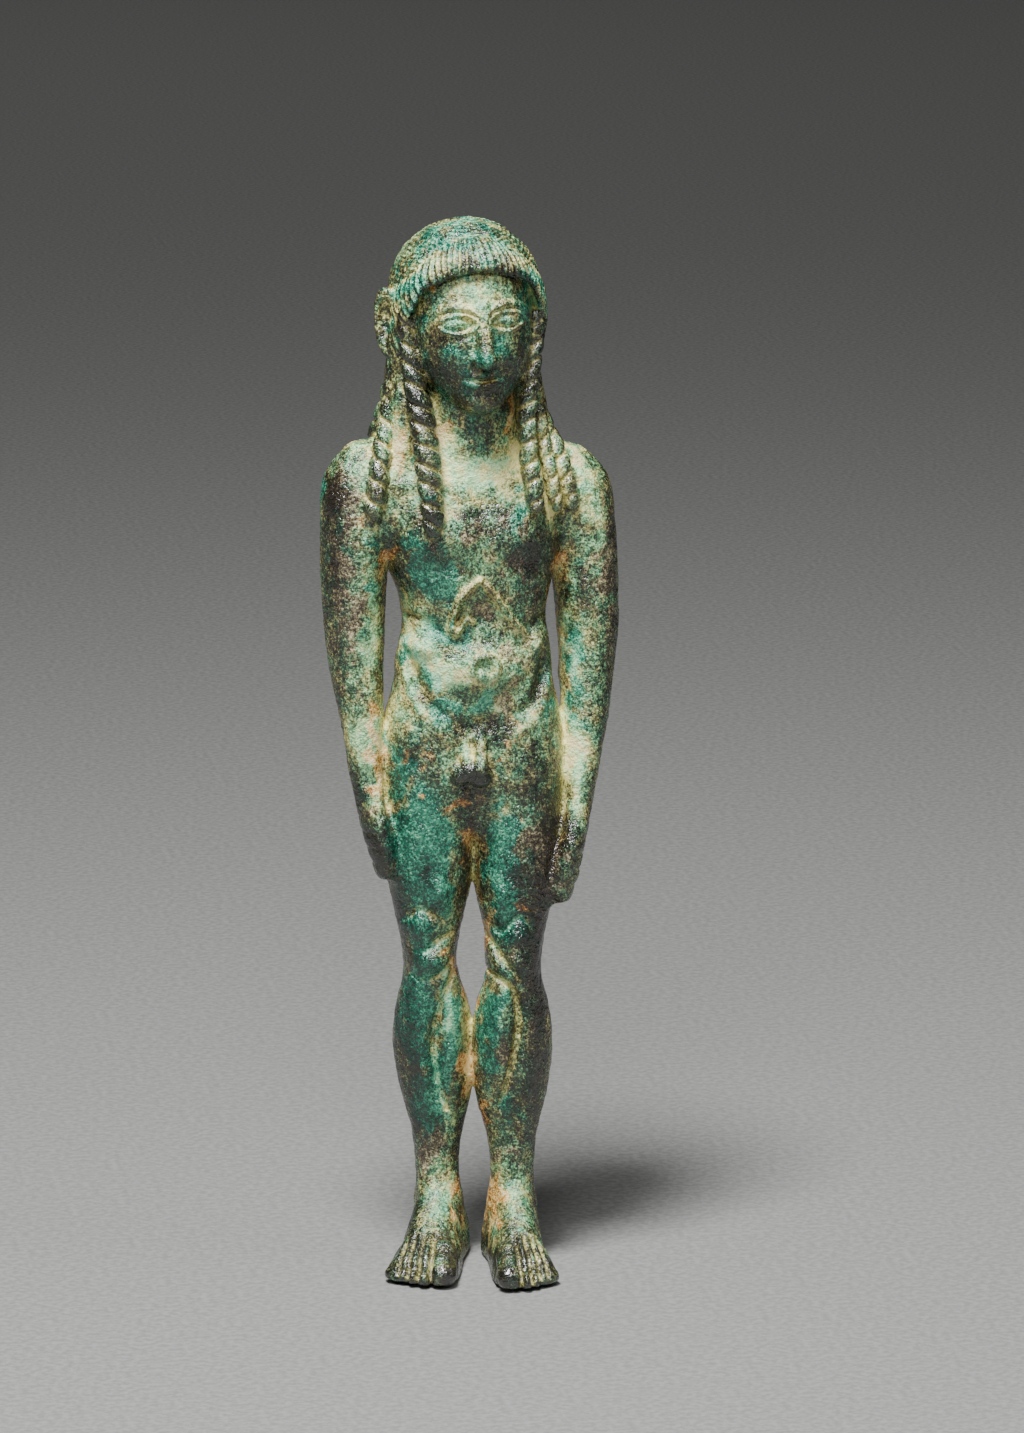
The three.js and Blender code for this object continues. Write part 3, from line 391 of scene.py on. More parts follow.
ARM_STATIONS = [
    [49.2, 10.5, -2.9, 1.4, 1.7, 1.6],
    [51.5, 10.75, -2.8, 1.9, 2.6, 2.5],
    [54.5, 11.3, -2.6, 2.1, 3.0, 2.8],
    [57.5, 12.1, -2.3, 1.9, 2.7, 2.4],
    [60.5, 12.7, -1.9, 1.85, 2.3, 2.2],
    [64, 13.15, -1.3, 2.2, 2.7, 2.6],
    [68.3, 13.6, -0.5, 2.65, 3.1, 3.1],
    [72, 14.0, 0.1, 3.0, 3.3, 3.5],
    [76, 14.3, 0.6, 3.35, 3.6, 3.8],
    [80, 14.5, 0.9, 3.7, 3.9, 4.1],
    [84, 14.45, 1.1, 3.9, 4.3, 4.4],
    [88, 14.3, 1.3, 4.1, 4.6, 4.6],
    [92, 14.0, 1.4, 4.35, 4.8, 4.7],
    [96, 13.5, 1.5, 4.7, 4.7, 4.6],
    [99.2, 12.9, 1.5, 4.5, 4.2, 4.2],
    [102.6, 11.8, 1.5, 2.7, 2.5, 2.6],
]
WRIST = 60


def hanging(shoulder_drop, hand_drop, wrist_out):
    """The arm's stations, with the shoulder lowered a little and the hand more."""
    stations = []
    for z, x, *rest in ARM_STATIONS:
        share = min(max((SHOULDER - z) / (SHOULDER - ARM_STATIONS[0][0]), 0), 1)
        drop = shoulder_drop + (hand_drop - shoulder_drop) * share
        stations.append([z - drop, x + wrist_out * bump(z - WRIST, 6), *rest])
    return stations


arm_columns = {
    "right": column(hanging(-RIGHT_SHOULDER_RISE, 0, RIGHT_WRIST_OUT)),
    "left": column(hanging(LEFT_SHOULDER_DROP, LEFT_HAND_DROP, 0)),
}


def arm(x, y, z, side):
    drop = LEFT_HAND_DROP if side == "left" else 0

    def carve(d, x, y, z):
        wrist = [12.6, -3.5, 60.5 - drop]
        knuckle = [11.8, -4.9, 56.5 - drop]
        tip = [10.9, -5.2, 53.4 - drop]
        d = smooth_min(d, strut(x, y, z, wrist, knuckle, 1.0, 0.95), 0.9)
        d = smooth_min(d, strut(x, y, z, knuckle, tip, 0.95, 0.7), 0.4)
        fist = step(z + drop, 49, 50.5) * (1 - step(z + drop, 56.5, 58))
        d = d + 0.2 * fist * furrows((z + drop - 49.6) / 1.9) ** 2 * step(x, 11.4, 12.6)
        return d - 0.3 * bump(z - 75 + drop * 0.5, 2.2) * step(y, 0, 3)

    return where_near(arm_columns[side](x, y, z), 3, carve, x, y, z)


leg_column = column(
    [
        [6, 4.45, 0.5, 2.55, 2.7, 3.2],
        [10, 4.5, 0.5, 2.65, 2.9, 3.4],
        [14, 4.55, 0.5, 2.8, 2.8, 3.3],
        [17, 4.5, 0.5, 3.25, 2.9, 3.5],
        [20, 4.5, 0.5, 4.05, 3.2, 4.1],
        [23, 4.6, 0.5, 4.65, 3.6, 4.9],
        [26.5, 4.75, 0.4, 4.95, 3.9, 5.5],
        [30, 4.8, 0.2, 4.9, 4.1, 5.6],
        [33.5, 4.9, 0, 4.2, 4.3, 4.9],
        [36, 5.05, -0.2, 3.45, 4.6, 3.9],
        [38.7, 5.2, -0.3, 3.2, 4.9, 3.4],
        [42, 5.2, -0.2, 3.75, 5.1, 3.9],
        [46, 5.2, 0, 4.65, 5.5, 4.9],
        [49.5, 5.2, 0.1, 5.3, 6.0, 5.8],
        [57, 5.45, 0.3, 5.8, 6.4, 7.4],
        [63, 5.3, 0.5, 5.7, 6.2, 8.2],
        [68, 5.0, 0.6, 5.0, 5.6, 7.4],
        [72, 4.7, 0.6, 4.0, 4.6, 5.4],
    ],
    power=2.1,
    rim=2,
)

# Furrows about the knee, and the edge of the long inner calf, whose left one ends at these points
LOW_CALF = [(4.1, 25), (2.9, 20.8)]
LEG_LINES = {
    "right": [
        (0.58, 0.45, 0.5, [(8.6, 44.0), (7.6, 45.2), (6.6, 45.8), (5.4, 45.0), (3.8, 43.9)]),
        (0.58, 0.42, 0.5, [(6.3, 40.2), (5.2, 41.2), (4.1, 42.0), (2.6, 42.4)]),
        (0.5, 0.4, 0.5, [(7.8, 37.3), (6.4, 36.6), (4.8, 36.9), (3.6, 37.8), (2.9, 39)]),
        (0.8, 0.5, 0.4, [(2.7, 37.2), (3.9, 34.2), (4.8, 30.6), (4.9, 26.6), (4.4, 22.8), (3.5, 19.6)]),
        (-0.42, 0.7, 0.6, [(6.2, 35), (6.6, 29), (6.1, 22), (5.4, 15)]),
    ],
    "left": [
        (0.58, 0.42, 0.4, [(2.3, 43.4), (3.1, 42.7), (3.9, 43.4), (4.9, 44.5), (5.9, 44.5), (6.9, 43)]),
        (0.6, 0.45, 0.4, [(1.2, 42.8), (2.2, 41.2), (3.4, 39.3), (4.7, 37.8), (5.5, 36.4)]),
        (0.8, 0.5, 0.4, [(1.9, 37.4), (3.4, 36.7), (4.7, 35.2), (5.3, 32), (4.9, 28.3)] + LOW_CALF),
        (-0.42, 0.7, 0.6, [(6.6, 36), (6.9, 29), (6.2, 21), (5.4, 14)]),
    ],
}
LEG_SWELLS = {
    "right": [
        (0.8, 4.4, 47.4, 1.4, 1.8),
        (0.6, 7.0, 43.2, 1.6, 1.6),
        (0.8, 5.4, 39.1, 1.9, 1.3),
        (0.95, 2.8, 28.5, 1.5, 6.6),
        (0.42, 7.6, 31, 1.5, 6),
    ],
    "left": [
        (0.7, 3.0, 46.6, 1.5, 2.2),
        (0.6, 5.0, 42.4, 1.6, 1.4),
        (0.6, 2.2, 39.2, 1.3, 2.0),
        (0.55, 5.4, 39.2, 1.3, 1.2),
        (0.95, 2.9, 29.5, 1.5, 6.4),
        (0.42, 7.2, 30, 1.5, 6),
    ],
}


def leg(x, y, z, side):
    def carve(d, x, y, z):
        across = x - 5.1
        ahead = drawn(x, z, LEG_LINES[side]) - swollen(x, z, LEG_SWELLS[side])
        behind = 0.35 * bump(across, 1.0) * bump(z - 29, 5)
        behind += 0.5 * bump(z - 38.5, 2.2) * bump(across, 1.8)
        return d + np.where(y < 0, ahead, behind)

    return where_near(leg_column(x, y, z), 3, carve, x, y, z)


# Feet. A foot is drawn for the left side with its ankle at the origin and "ahead" towards its toes.

foot_column = profile(
    [
        [-5.2, 0, 1.6, 2.6],
        [-4.4, 0, 2.8, 5.0],
        [-2.5, 0, 3.6, 9.6],
        [0, 0, 3.6, 11.5],
        [3, 0.1, 3.6, 10.2],
        [6, 0.2, 3.9, 7.6],
        [9, 0.3, 4.3, 5.7],
        [11.5, 0.4, 4.45, 4.6],
        [13.5, 0.4, 4.3, 3.7],
        [15, 0.3, 3.6, 2.6],
    ]
)
# Each toe: how far across, how far ahead its tip lies, its half width, the height of its middle,
# and half the length of its nail
TOES = [
    (-2.3, 15.9, 1.65, 1.9, 1.9),
    (-0.1, 15.8, 0.95, 1.5, 0.7),
    (1.3, 15.2, 0.88, 1.4, 0.65),
    (2.65, 14.4, 0.85, 1.3, 0.6),
    (4.1, 13.4, 0.95, 1.2, 0.6),
]
TOE_LENGTH = 5.5
TOE_SLOPE = 1.5
TOE_FAN = 0.8
TOE_LIFT = 0.55
HEEL_BACK = 5.2
FOOT_LENGTH = 14.2
FOOT_SPLAY = {"right": 12, "left": 3.5}
FOOT_BREADTH = {"right": 1, "left": 0.84}
ANKLE_OUT = 4.45
ANKLE_BACK = 0.5


def foot_form(across_foot, ahead, z, breadth):
    outside = across_foot + 2.3 > 0
    narrow = np.where(outside, breadth + (1 - breadth) * (1 - step(ahead, 0, 9)), 1)
    across = (across_foot + 2.3) / narrow - 2.3
    middle, half, height = foot_column(ahead)
    u = (across - middle) / half
    v = np.maximum(z, 0) / height
    share = np.maximum(np.hypot(u, v), TINY)
    grade = np.hypot(u / half, v / height) / share
    d = (share - 1) / np.maximum(grade, TINY)
    d = smooth_max(d, np.maximum(-HEEL_BACK - ahead, ahead - FOOT_LENGTH), 1.6)
    for at, reach, radius, rise, nail_length in TOES:
        root = [at * TOE_FAN, reach - TOE_LENGTH, rise + TOE_SLOPE]
        tip = [at, reach - radius, rise]
        d = smooth_min(d, strut(across, ahead, z, root, tip, radius, radius), 0.3)
        below = [at, tip[1] - 0.2, 0.6]
        d = smooth_min(d, strut(across, ahead, z, tip, below, radius, radius * 0.8), 0.3)
        # The nail, a flat with a rim behind it
        middle = reach - 0.3 * radius - nail_length
        nail = np.hypot((across - at) / (0.7 * radius), (ahead - middle) / nail_length)
        above = step(z, rise + 0.2 * radius, rise + 0.6 * radius)
        d = d + above * (0.1 * (1 - step(nail, 0.8, 1.0)) + 0.14 * bump(nail - 1.08, 0.13))
    # Furrows run up the foot between the toes
    for (a, _, r, *_), (b, _, s, *_) in zip(TOES, TOES[1:]):
        gap = (a + r + b - s) / 2
        fan = gap * (0.55 + 0.03 * ahead)
        d = d + 0.55 * bump(across - fan, 0.27) * step(ahead, 7.2, 10.5) * step(z, 0.6, 1.8)
    # The edge of the sole is rounded, and the toes are lifted a little
    d = smooth_max(d, TOE_LIFT * step(ahead, 9, 13) - z, 0.4)
    d = d + 0.6 * (1 - np.clip(z / 1.1, 0, 1)) ** 2
    # Ankle bones
    return d - 0.35 * bump(np.hypot(ahead - 0.2, z - 8.4), 1.5) * step(np.abs(across), 1.8, 2.8)


def along_foot(x, y, side):
    """How far a point lies across a foot and how far ahead of its ankle."""
    splay = math.radians(FOOT_SPLAY[side])
    px = (x if side == "left" else -x) - ANKLE_OUT
    py = ANKLE_BACK - y - (LEFT_LEG_ADVANCE if side == "left" else 0)
    across = px * math.cos(splay) - py * math.sin(splay)
    return across, px * math.sin(splay) + py * math.cos(splay)


def foot(x, y, z, side):
    across, ahead = along_foot(x, y, side)
    near = (z < 13) & (np.abs(across) < 9) & (ahead > -9) & (ahead < 20)
    return only_at(near, lambda *p: foot_form(*p, FOOT_BREADTH[side]), across, ahead, z)


# Head. It is drawn upright and then rolled a little about its centre.

EYE = (CROWN + CHIN) / 2
BROW = EYE + 2.1
NOSE = (BROW + CHIN) / 2
MOUTH = NOSE - (NOSE - CHIN) / 3
EYE_APART = 3.05


def face(x, y, z):
    side = np.abs(x)
    d = ellipsoid(x, y, z, [0, 0.6, CROWN - 9.8], [7.9, 8.7, 9.2])
    d = smooth_min(d, ellipsoid(x, y, z, [0, -2.2, CHIN + 8.2], [6.9, 6.5, 8.1]), 2)
    d = smooth_min(d, ellipsoid(x, y, z, [0, -5.7, CHIN + 2.3], [2.5, 2.5, 2.3]), 2.2)
    # Cheeks, eye sockets and brows
    d = d - 0.3 * bump(z - NOSE - 1, 2) * bump(side - 3.6, 1.8) * step(-y, 2, 6)
    socket = ellipsoid(side, y, z, [EYE_APART, -9.5, EYE + 0.1], [2.5, 1.9, 1.65])
    d = smooth_max(d, -socket, 0.9)
    brow_arc = z - (BROW - 0.16 * (side - EYE_APART) ** 2)
    d = d - 0.5 * bump(brow_arc, 0.45) * step(-y, 3, 6) * bump(side - EYE_APART, 3)
    # Almond eyes with raised lids
    lid_height = 1.15 * np.sqrt(np.maximum(1 - ((side - EYE_APART) / 2.25) ** 2, 0))
    ball = ellipsoid(side, y, z, [EYE_APART, -6.4, EYE], [2.25, 1.85, 1.3])
    d = smooth_min(d, ball, 0.25)
    lid = np.abs(np.abs(z - EYE) - lid_height)
    near_eye = 1 - step(np.abs(side - EYE_APART), 2.0, 2.6)
    d = d - 0.42 * bump(lid, 0.27) * near_eye * step(-y, 3, 5.5)
    # Nose
    bridge = strut(x, y, z, [0, -8.0, BROW - 0.4], [0, -10.0, NOSE + 0.5], 0.75, 1.05)
    d = smooth_min(d, bridge, 0.9)
    wing = ellipsoid(side, y, z, [0.95, -9.0, NOSE + 0.2], [0.75, 1.0, 0.7])
    d = smooth_min(d, wing, 0.5)
    # Lips, with their corners lifted a little, and the hollow under them
    corner = 0.05 * side**2
    lip_reach = bump(side, 2.0)
    front = step(-y, 4, 6.5)
    d = d - 0.55 * bump(z - MOUTH - 0.55 - corner, 0.45) * lip_reach * front
    d = d - 0.6 * bump(z - MOUTH + 0.6 - corner, 0.45) * lip_reach * front
    d = d + 0.45 * bump(z - MOUTH - corner, 0.25) * bump(side, 2.3) * front
    return d + 0.3 * bump(z - MOUTH + 1.8, 0.6) * bump(side, 1.8) * front


HAIR_RADII = [9.25, 9.9, 9.0]
HAIR_CENTRE = [0, 0.9, CROWN - HAIR_RADII[2]]
FRINGE_APEX = 124.7
FRINGE_CORNER = 6.2
FRINGE_HEIGHT = 3.9
FRINGE_SWELL = 0.55
STRAND_ANGLE = 5.2
STRAND_LEAN = 2.4
RING_SPACING = 0.62


def fringe_line(x):
    return FRINGE_APEX - 0.05 * x * x - 0.75 * np.maximum(np.abs(x) - FRINGE_CORNER, 0) ** 2


def fringe_top(x):
    return FRINGE_APEX + FRINGE_HEIGHT - 0.075 * x * x


def hair_lines(x, y, z):
    """How far a point lies between the thin raised strands, and how deep they are there."""
    top = fringe_top(x)
    around = np.degrees(np.arctan2(x, HAIR_CENTRE[1] - y))
    in_front = 1 - step(y, -1, 3)
    over_fringe = step(top - z, -0.15, 0.35)
    combed = 1 - step(np.abs(around), 96, 108)
    # Strands of the fringe; on the right side they lean towards the face
    lean = STRAND_LEAN * np.maximum(top - z, 0) * step(-around, 12, 40)
    sway = 0.1 * np.sin(0.9 * z + 0.2 * around) + 0.08 * np.sin(0.31 * around)
    strands = np.abs(np.sin(np.pi * ((around - lean) / STRAND_ANGLE + sway)))
    worn = 1 - 0.6 * bump(around - 2, 14)
    # Rings about the crown
    flat = np.hypot((x - HAIR_CENTRE[0]) / HAIR_RADII[0], (y - HAIR_CENTRE[1]) / HAIR_RADII[1])
    out = np.arctan2(flat, (z - HAIR_CENTRE[2]) / HAIR_RADII[2]) * HAIR_RADII[2]
    turn = np.radians(around)
    ripple = 0.3 * np.sin(turn * 5 + 1.0) + 0.2 * np.sin(turn * 11) + 0.3 * np.sin(turn * 2 + out)
    rings = np.abs(np.sin(np.pi * (out / RING_SPACING + ripple)))
    on_crown = (1 - over_fringe) * in_front + (1 - in_front) * (1 - step(out, 6.5, 7.5))
    on_fringe = over_fringe * combed * step(z, 108, 112)
    gap = np.where(on_fringe > on_crown, strands, rings)
    return gap, 0.36 * on_fringe * worn + 0.13 * on_crown, out, combed, in_front


def hair(x, y, z):
    d = ellipsoid(x, y, z, HAIR_CENTRE, HAIR_RADII)
    edge, top = fringe_line(x), fringe_top(x)
    gap, depth, out, combed, in_front = hair_lines(x, y, z)
    # The fringe swells like a roll below the flatter crown
    part = np.clip((z - edge) / (top - edge), 0, 1)
    d = d - in_front * FRINGE_SWELL * np.sin(np.pi * part) ** 0.7
    d = d + depth * (gap - 0.5)
    # A furrow parts the crown from the fringe
    d = d + 0.14 * bump(top - z, 0.3) * in_front
    d = d + tress_relief(x, y, z) * step(out, 6.5, 7.5) * (1 - combed)
    return smooth_max(d, np.minimum(edge - z, 1.2 - y), 0.4)


EAR_OUT = {"right": 9.9, "left": 8.6}
EAR_TURN = math.radians(48)


def ears(x, y, z):
    """Shells that stand out and face half forwards, with a rim, a bowl and a lobe."""
    out = np.abs(x) - np.where(x < 0, EAR_OUT["right"], EAR_OUT["left"])
    y, z = y - 0.1, z - EYE + 0.3
    facing = out * math.cos(EAR_TURN) - y * math.sin(EAR_TURN)
    across = out * math.sin(EAR_TURN) + y * math.cos(EAR_TURN)
    d = ellipsoid(across, facing, z, [-0.2, -0.5, 0], [1.9, 1.0, 3.9])
    ring = (np.hypot((across + 0.1) / 1.5, z / 3.5) - 1) * 1.6
    d = smooth_min(d, np.hypot(ring, facing - 0.1) - 0.42, 0.25)
    d = smooth_max(d, -ellipsoid(across, facing, z, [0, 0.5, 0.3], [1.0, 0.9, 2.6]), 0.3)
    d = smooth_min(d, ellipsoid(across, facing, z, [-0.7, 0, -3.2], [0.8, 0.6, 0.9]), 0.3)
    return smooth_min(d, ellipsoid(across, facing, z, [-1.1, 0.1, -0.4], [0.5, 0.5, 0.8]), 0.3)


def rolled(x, z):
    roll = math.radians(HEAD_ROLL)
    up = z - HEAD_CENTRE
    across = x * math.cos(roll) + up * math.sin(roll)
    return across, HEAD_CENTRE - x * math.sin(roll) + up * math.cos(roll)


def whole_head(x, y, z):
    hx, hz = rolled(x, z)
    form = smooth_min(face(hx, y, hz), hair(hx, y, hz), 0.3)
    return smooth_min(form, ears(hx, y, hz), 0.3)


def head(x, y, z):
    near = (z > 104) & (np.abs(x) < 14) & (np.abs(y) < 14)
    return only_at(near, whole_head, x, y, z)


# Twisted locks over the chest: stations [level, x, y, radius], and which way they turn.
LOCKS = [
    (1, [
        [92.6, -6.1, -6.9, 0.8],
        [94, -6.15, -6.9, 1.2],
        [97, -6.3, -6.6, 1.4],
        [101, -6.4, -5.6, 1.6],
        [105, -6.6, -4.6, 1.65],
        [108, -6.95, -3.9, 1.5],
        [111, -7.35, -3.1, 1.3],
        [115, -7.7, -2.3, 1.15],
        [119, -8.1, -2.2, 1.0],
    ]),
    (1, [
        [93.6, -12.9, -2.9, 0.8],
        [95.5, -12.7, -3.2, 1.15],
        [98, -12.2, -3.2, 1.2],
        [101, -11.6, -2.5, 1.1],
        [104.5, -10.8, -1.0, 1.0],
        [108, -9.7, 0.0, 1.0],
        [114, -8.9, 0.4, 0.9],
    ]),
    (-1, [
        [95, 6.6, -6.6, 0.7],
        [96.5, 6.6, -6.4, 1.05],
        [99, 6.4, -5.9, 1.15],
        [102, 6.2, -5.1, 1.1],
        [106, 6.3, -4.3, 1.05],
        [110, 6.9, -3.4, 1.0],
        [115, 7.8, -2.4, 0.95],
        [119, 8.1, -2.0, 0.9],
    ]),
    (-1, [
        [94.6, 9.7, -5.1, 0.5],
        [96.5, 9.4, -5.1, 0.8],
        [99.5, 9.0, -4.3, 0.9],
        [103, 8.6, -2.6, 0.9],
        [107, 8.3, -1.2, 0.8],
    ]),
    (-1, [
        [94.4, 11.8, -3.6, 0.7],
        [96.5, 11.6, -3.6, 1.05],
        [99, 11.1, -3.1, 1.1],
        [102, 10.4, -1.9, 1.05],
        [105, 9.3, -0.4, 0.95],
        [109, 8.2, 0.4, 0.8],
    ]),
]
TWIST_PITCH = 2.35
TWIST_DEPTH = 0.5
TWIST_LEAN = 1.4


def make_lock(turn, stations):
    rows = [[z, x, y, r, r, r] for z, x, y, r in stations]
    body = column(rows, rim=0.6)
    line = profile(rows)

    def twist(d, x, y, z):
        cx, cy, radius, _, _ = line(z)
        angle = np.arctan2(x - cx, cy - y)
        phase = z / TWIST_PITCH + TWIST_LEAN * turn * angle / (2 * math.pi)
        phase = phase + 0.06 * np.sin(1.7 * z + cx)
        return d + TWIST_DEPTH * np.minimum(radius, 1.3) * furrows(phase) ** 2 - 0.14

    return lambda x, y, z: where_near(body(x, y, z), 1.5, twist, x, y, z)


locks = [make_lock(*each) for each in LOCKS]


def loins_form(x, y, z):
    pouch = ellipsoid(x, y, z, [-2.0, -5.9, 62.7], [1.5, 1.7, 1.4])
    pouch = smooth_min(pouch, ellipsoid(x, y, z, [0.3, -6.3, 62.3], [1.5, 1.5, 1.3]), 0.4)
    shaft = strut(x, y, z, [0.15, -5.5, 67.6], [0.2, -7.6, 63.5], 0.7, 0.95)
    lobe = strut(x, y, z, [-1.7, -5.4, 66.6], [-1.2, -7.0, 63.4], 0.65, 0.9)
    return smooth_min(smooth_min(pouch, lobe, 0.3), shaft, 0.12)


def loins(x, y, z):
    near = (np.abs(x) < 7) & (z > 56) & (z < 72) & (y < 0)
    return only_at(near, loins_form, x, y, z)


# The whole youth


def local(x, y, z):
    """Above the hips the body turns a little one way, below them the other, and it bows a little."""
    turn = np.radians(LEG_TURN + (HEAD_TURN - LEG_TURN) * step(z, 46, 98))
    x = x - 0.28 * bump(z - 80, 20) + 0.2 * bump(z - 32, 14)
    return x * np.cos(turn) + y * np.sin(turn), y * np.cos(turn) - x * np.sin(turn)


CALF_CONTACT = 22.5
# Behind, the thighs still touch a little below the front of the crotch: a strut from a high point to
# a low one, and its radius at each
THIGH_WEB = ([-0.3, 2.4, 58], [-0.3, 3, 48.6], 1.6, 0.7)
# The corroded skin: swells of each length and height in millimetres, and the seed of each
PITTING = [(7.0, 0.03, 1), (2.8, 0.018, 2), (1.2, 0.022, 3)]


def pitted(d, x, y, z):
    calm = 1 - 0.5 * step(z, 104, 108) * (1 - step(y, -4, 0))
    return d + calm * sum(height * wavy(x, y, z, length, seed) for length, height, seed in PITTING)


def youth(world_x, world_y, z):
    x, y = local(world_x, world_y, z)
    d = torso(x, y, z)
    d = smooth_min(d, neck_column(x, y, z), 2.2)
    # Thighs join the trunk softly and meet each other in a crease
    advance = LEFT_LEG_ADVANCE * (1 - step(z, 20, 62))
    pressed = 0.35 + 0.5 * bump(z - CALF_CONTACT, 2.5)
    legs = smooth_min(leg(-x, y, z, "right"), leg(x, y + advance, z, "left"), pressed)
    near = (np.abs(x) < 5) & (z > 44) & (z < 62)
    legs = smooth_min(legs, only_at(near, lambda *p: strut(*p, *THIGH_WEB), x, y, z), 0.8)
    d = smooth_min(d, legs, 0.4 + 2.4 * step(z, CROTCH, 66))
    d = d + np.where(y > 0, 1.1 * bump(x, 0.9) * bump(z - 61, 5.5), 0)
    d = smooth_min(d, loins(x, y, z), 0.4)
    feet = np.minimum(foot(x, y, z, "right"), foot(x, y, z, "left"))
    d = smooth_min(d, feet, 1.2)
    # Arms grow out of the shoulders, and only touch the hips and thighs
    grown = 0.5 + 2.6 * step(z, 86, 95) + 1.1 * (1 - step(z, 47, 54))
    arms = np.minimum(arm(-x, y, z, "right"), arm(x, y, z, "left"))
    d = smooth_min(d, arms, grown)
    d = smooth_min(d, hair_mass(x, y, z), 0.5)
    for lock in locks:
        d = smooth_min(d, lock(x, y, z), 0.3)
    d = smooth_min(d, head(x, y, z), 0.4)
    return np.maximum(where_near(d, 1.5, pitted, x, y, z), -z)


# The mesh

CELL = 0.3
COARSE_CELL = 1.2
# How many coarse cells away the surface may be for a cell to be worked out finely
CELLS_NEAR = 1.9
GRID_LOW = np.array([-20.5, -20.5, -1.5])
GRID_HIGH = np.array([20.5, 12.5, 131.5])
POINTS_AT_ONCE = 400000
FIRST_TRIANGLES = 76000
MOST_TRIANGLES = 196000
REFINEMENTS = 3


def field(points):
    """The youth's distance at points in drawn millimetres, worked out in blocks to save memory."""
    starts = range(0, len(points), POINTS_AT_ONCE)
    return np.concatenate([youth(*points[i : i + POINTS_AT_ONCE].T) for i in starts])


def sampled(cell):
    """Grid origin, and the field on a grid, worked out only close to the surface."""
    low, high = GRID_LOW, GRID_HIGH
    ratio = int(round(COARSE_CELL / cell))
    coarse = ratio * cell
    count = np.ceil((high - low) / coarse).astype(int) + 1
    axes = [low[i] + coarse * np.arange(count[i]) for i in range(3)]
    rough = field(np.stack(np.meshgrid(*axes, indexing="ij"), -1).reshape(-1, 3)).reshape(count)
    # A coarse cell is worked out finely where the surface may cross it
    near = np.abs(rough) < CELLS_NEAR * coarse
    cells = near[:-1, :-1, :-1]
    for dx, dy, dz in np.ndindex(2, 2, 2):
        cells = cells | near[dx : count[0] - 1 + dx, dy : count[1] - 1 + dy, dz : count[2] - 1 + dz]
    fine = (count - 1) * ratio + 1
    inner = np.clip(np.arange(fine[0]) // ratio, 0, count[0] - 2)
    along = np.clip(np.arange(fine[1]) // ratio, 0, count[1] - 2)
    upper = np.clip(np.arange(fine[2]) // ratio, 0, count[2] - 2)
    wanted = cells[np.ix_(inner, along, upper)]
    values = np.where(rough[:-1, :-1, :-1] < 0, -FAR, FAR)[np.ix_(inner, along, upper)]
    index = np.argwhere(wanted)
    values[wanted] = field(low + index * cell)
    return low, values


def surface(cell):
    """Surface nets: one vertex in each cell that the surface crosses, one quad across each edge."""
    low, values = sampled(cell)
    inside = values < 0
    shape = np.array(values.shape) - 1
    corners = list(np.ndindex(2, 2, 2))
    count = sum(
        inside[a : shape[0] + a, b : shape[1] + b, c : shape[2] + c].astype(np.int8)
        for a, b, c in corners
    )
    active = (count > 0) & (count < 8)
    index = np.argwhere(active)
    number = np.full(active.shape, -1, np.int32)
    number[active] = np.arange(len(index))
    total = np.zeros((len(index), 3))
    hits = np.zeros(len(index))
    for a in corners:
        for axis in range(3):
            if a[axis]:
                continue
            b = list(a)
            b[axis] = 1
            p = values[tuple((index + a).T)]
            q = values[tuple((index + b).T)]
            crossed = (p < 0) != (q < 0)
            t = p[crossed] / (p[crossed] - q[crossed])
            place = np.tile(np.array(a, float), (len(t), 1))
            place[:, axis] = t
            total[crossed] += place
            hits[crossed] += 1
    points = low + (index + total / hits[:, None]) * cell
    quads = []
    for axis in range(3):
        u, v = [(1, 2), (2, 0), (0, 1)][axis]
        size = np.array(values.shape)
        size[axis] -= 1
        start = [slice(1, -1)] * 3
        start[axis] = slice(0, -1)
        first = inside[tuple(start)]
        after = list(start)
        after[axis] = slice(1, None)
        second = inside[tuple(after)]
        for here, turned in ((first & ~second, False), (~first & second, True)):
            at = np.argwhere(here) + [0 if i == axis else 1 for i in range(3)]
            ring = []
            for du, dv in ((-1, -1), (0, -1), (0, 0), (-1, 0)):
                cellof = at.copy()
                cellof[:, u] += du
                cellof[:, v] += dv
                ring.append(number[tuple(cellof.T)])
            ring = np.stack(ring, 1)
            quads.append(ring[:, ::-1] if turned else ring)
    quads = np.concatenate(quads)
    quads = quads[(quads >= 0).all(1)]
    # Each quad is cut along its shorter diagonal
    p = points[quads]
    short = np.linalg.norm(p[:, 0] - p[:, 2], axis=1) < np.linalg.norm(p[:, 1] - p[:, 3], axis=1)
    one = np.where(short[:, None], quads[:, [0, 1, 2]], quads[:, [0, 1, 3]])
    two = np.where(short[:, None], quads[:, [0, 2, 3]], quads[:, [1, 2, 3]])
    return points, np.concatenate([one, two])


def largest_piece(points, faces):
    """Drops what isn't joined to the figure, such as the skin of a sealed hollow."""
    label = np.arange(len(points))
    while True:
        least = label[faces].min(1)
        fresh = label.copy()
        for i in range(3):
            np.minimum.at(fresh, faces[:, i], least)
        fresh = fresh[fresh]
        if (fresh == label).all():
            break
        label = fresh
    names, sizes = np.unique(label, return_counts=True)
    kept = label == names[sizes.argmax()]
    number = np.cumsum(kept) - 1
    return points[kept], number[faces[kept[faces[:, 0]]]]


def slopes(points, reach=0.04):
    """The field and its gradient, by differences along four directions."""
    ways = np.array([[1, -1, -1], [-1, -1, 1], [-1, 1, -1], [1, 1, 1]], float)
    values = [field(points + way * reach) for way in ways]
    gradient = sum(v[:, None] * way for v, way in zip(values, ways)) / (4 * reach)
    return sum(values) / 4, gradient


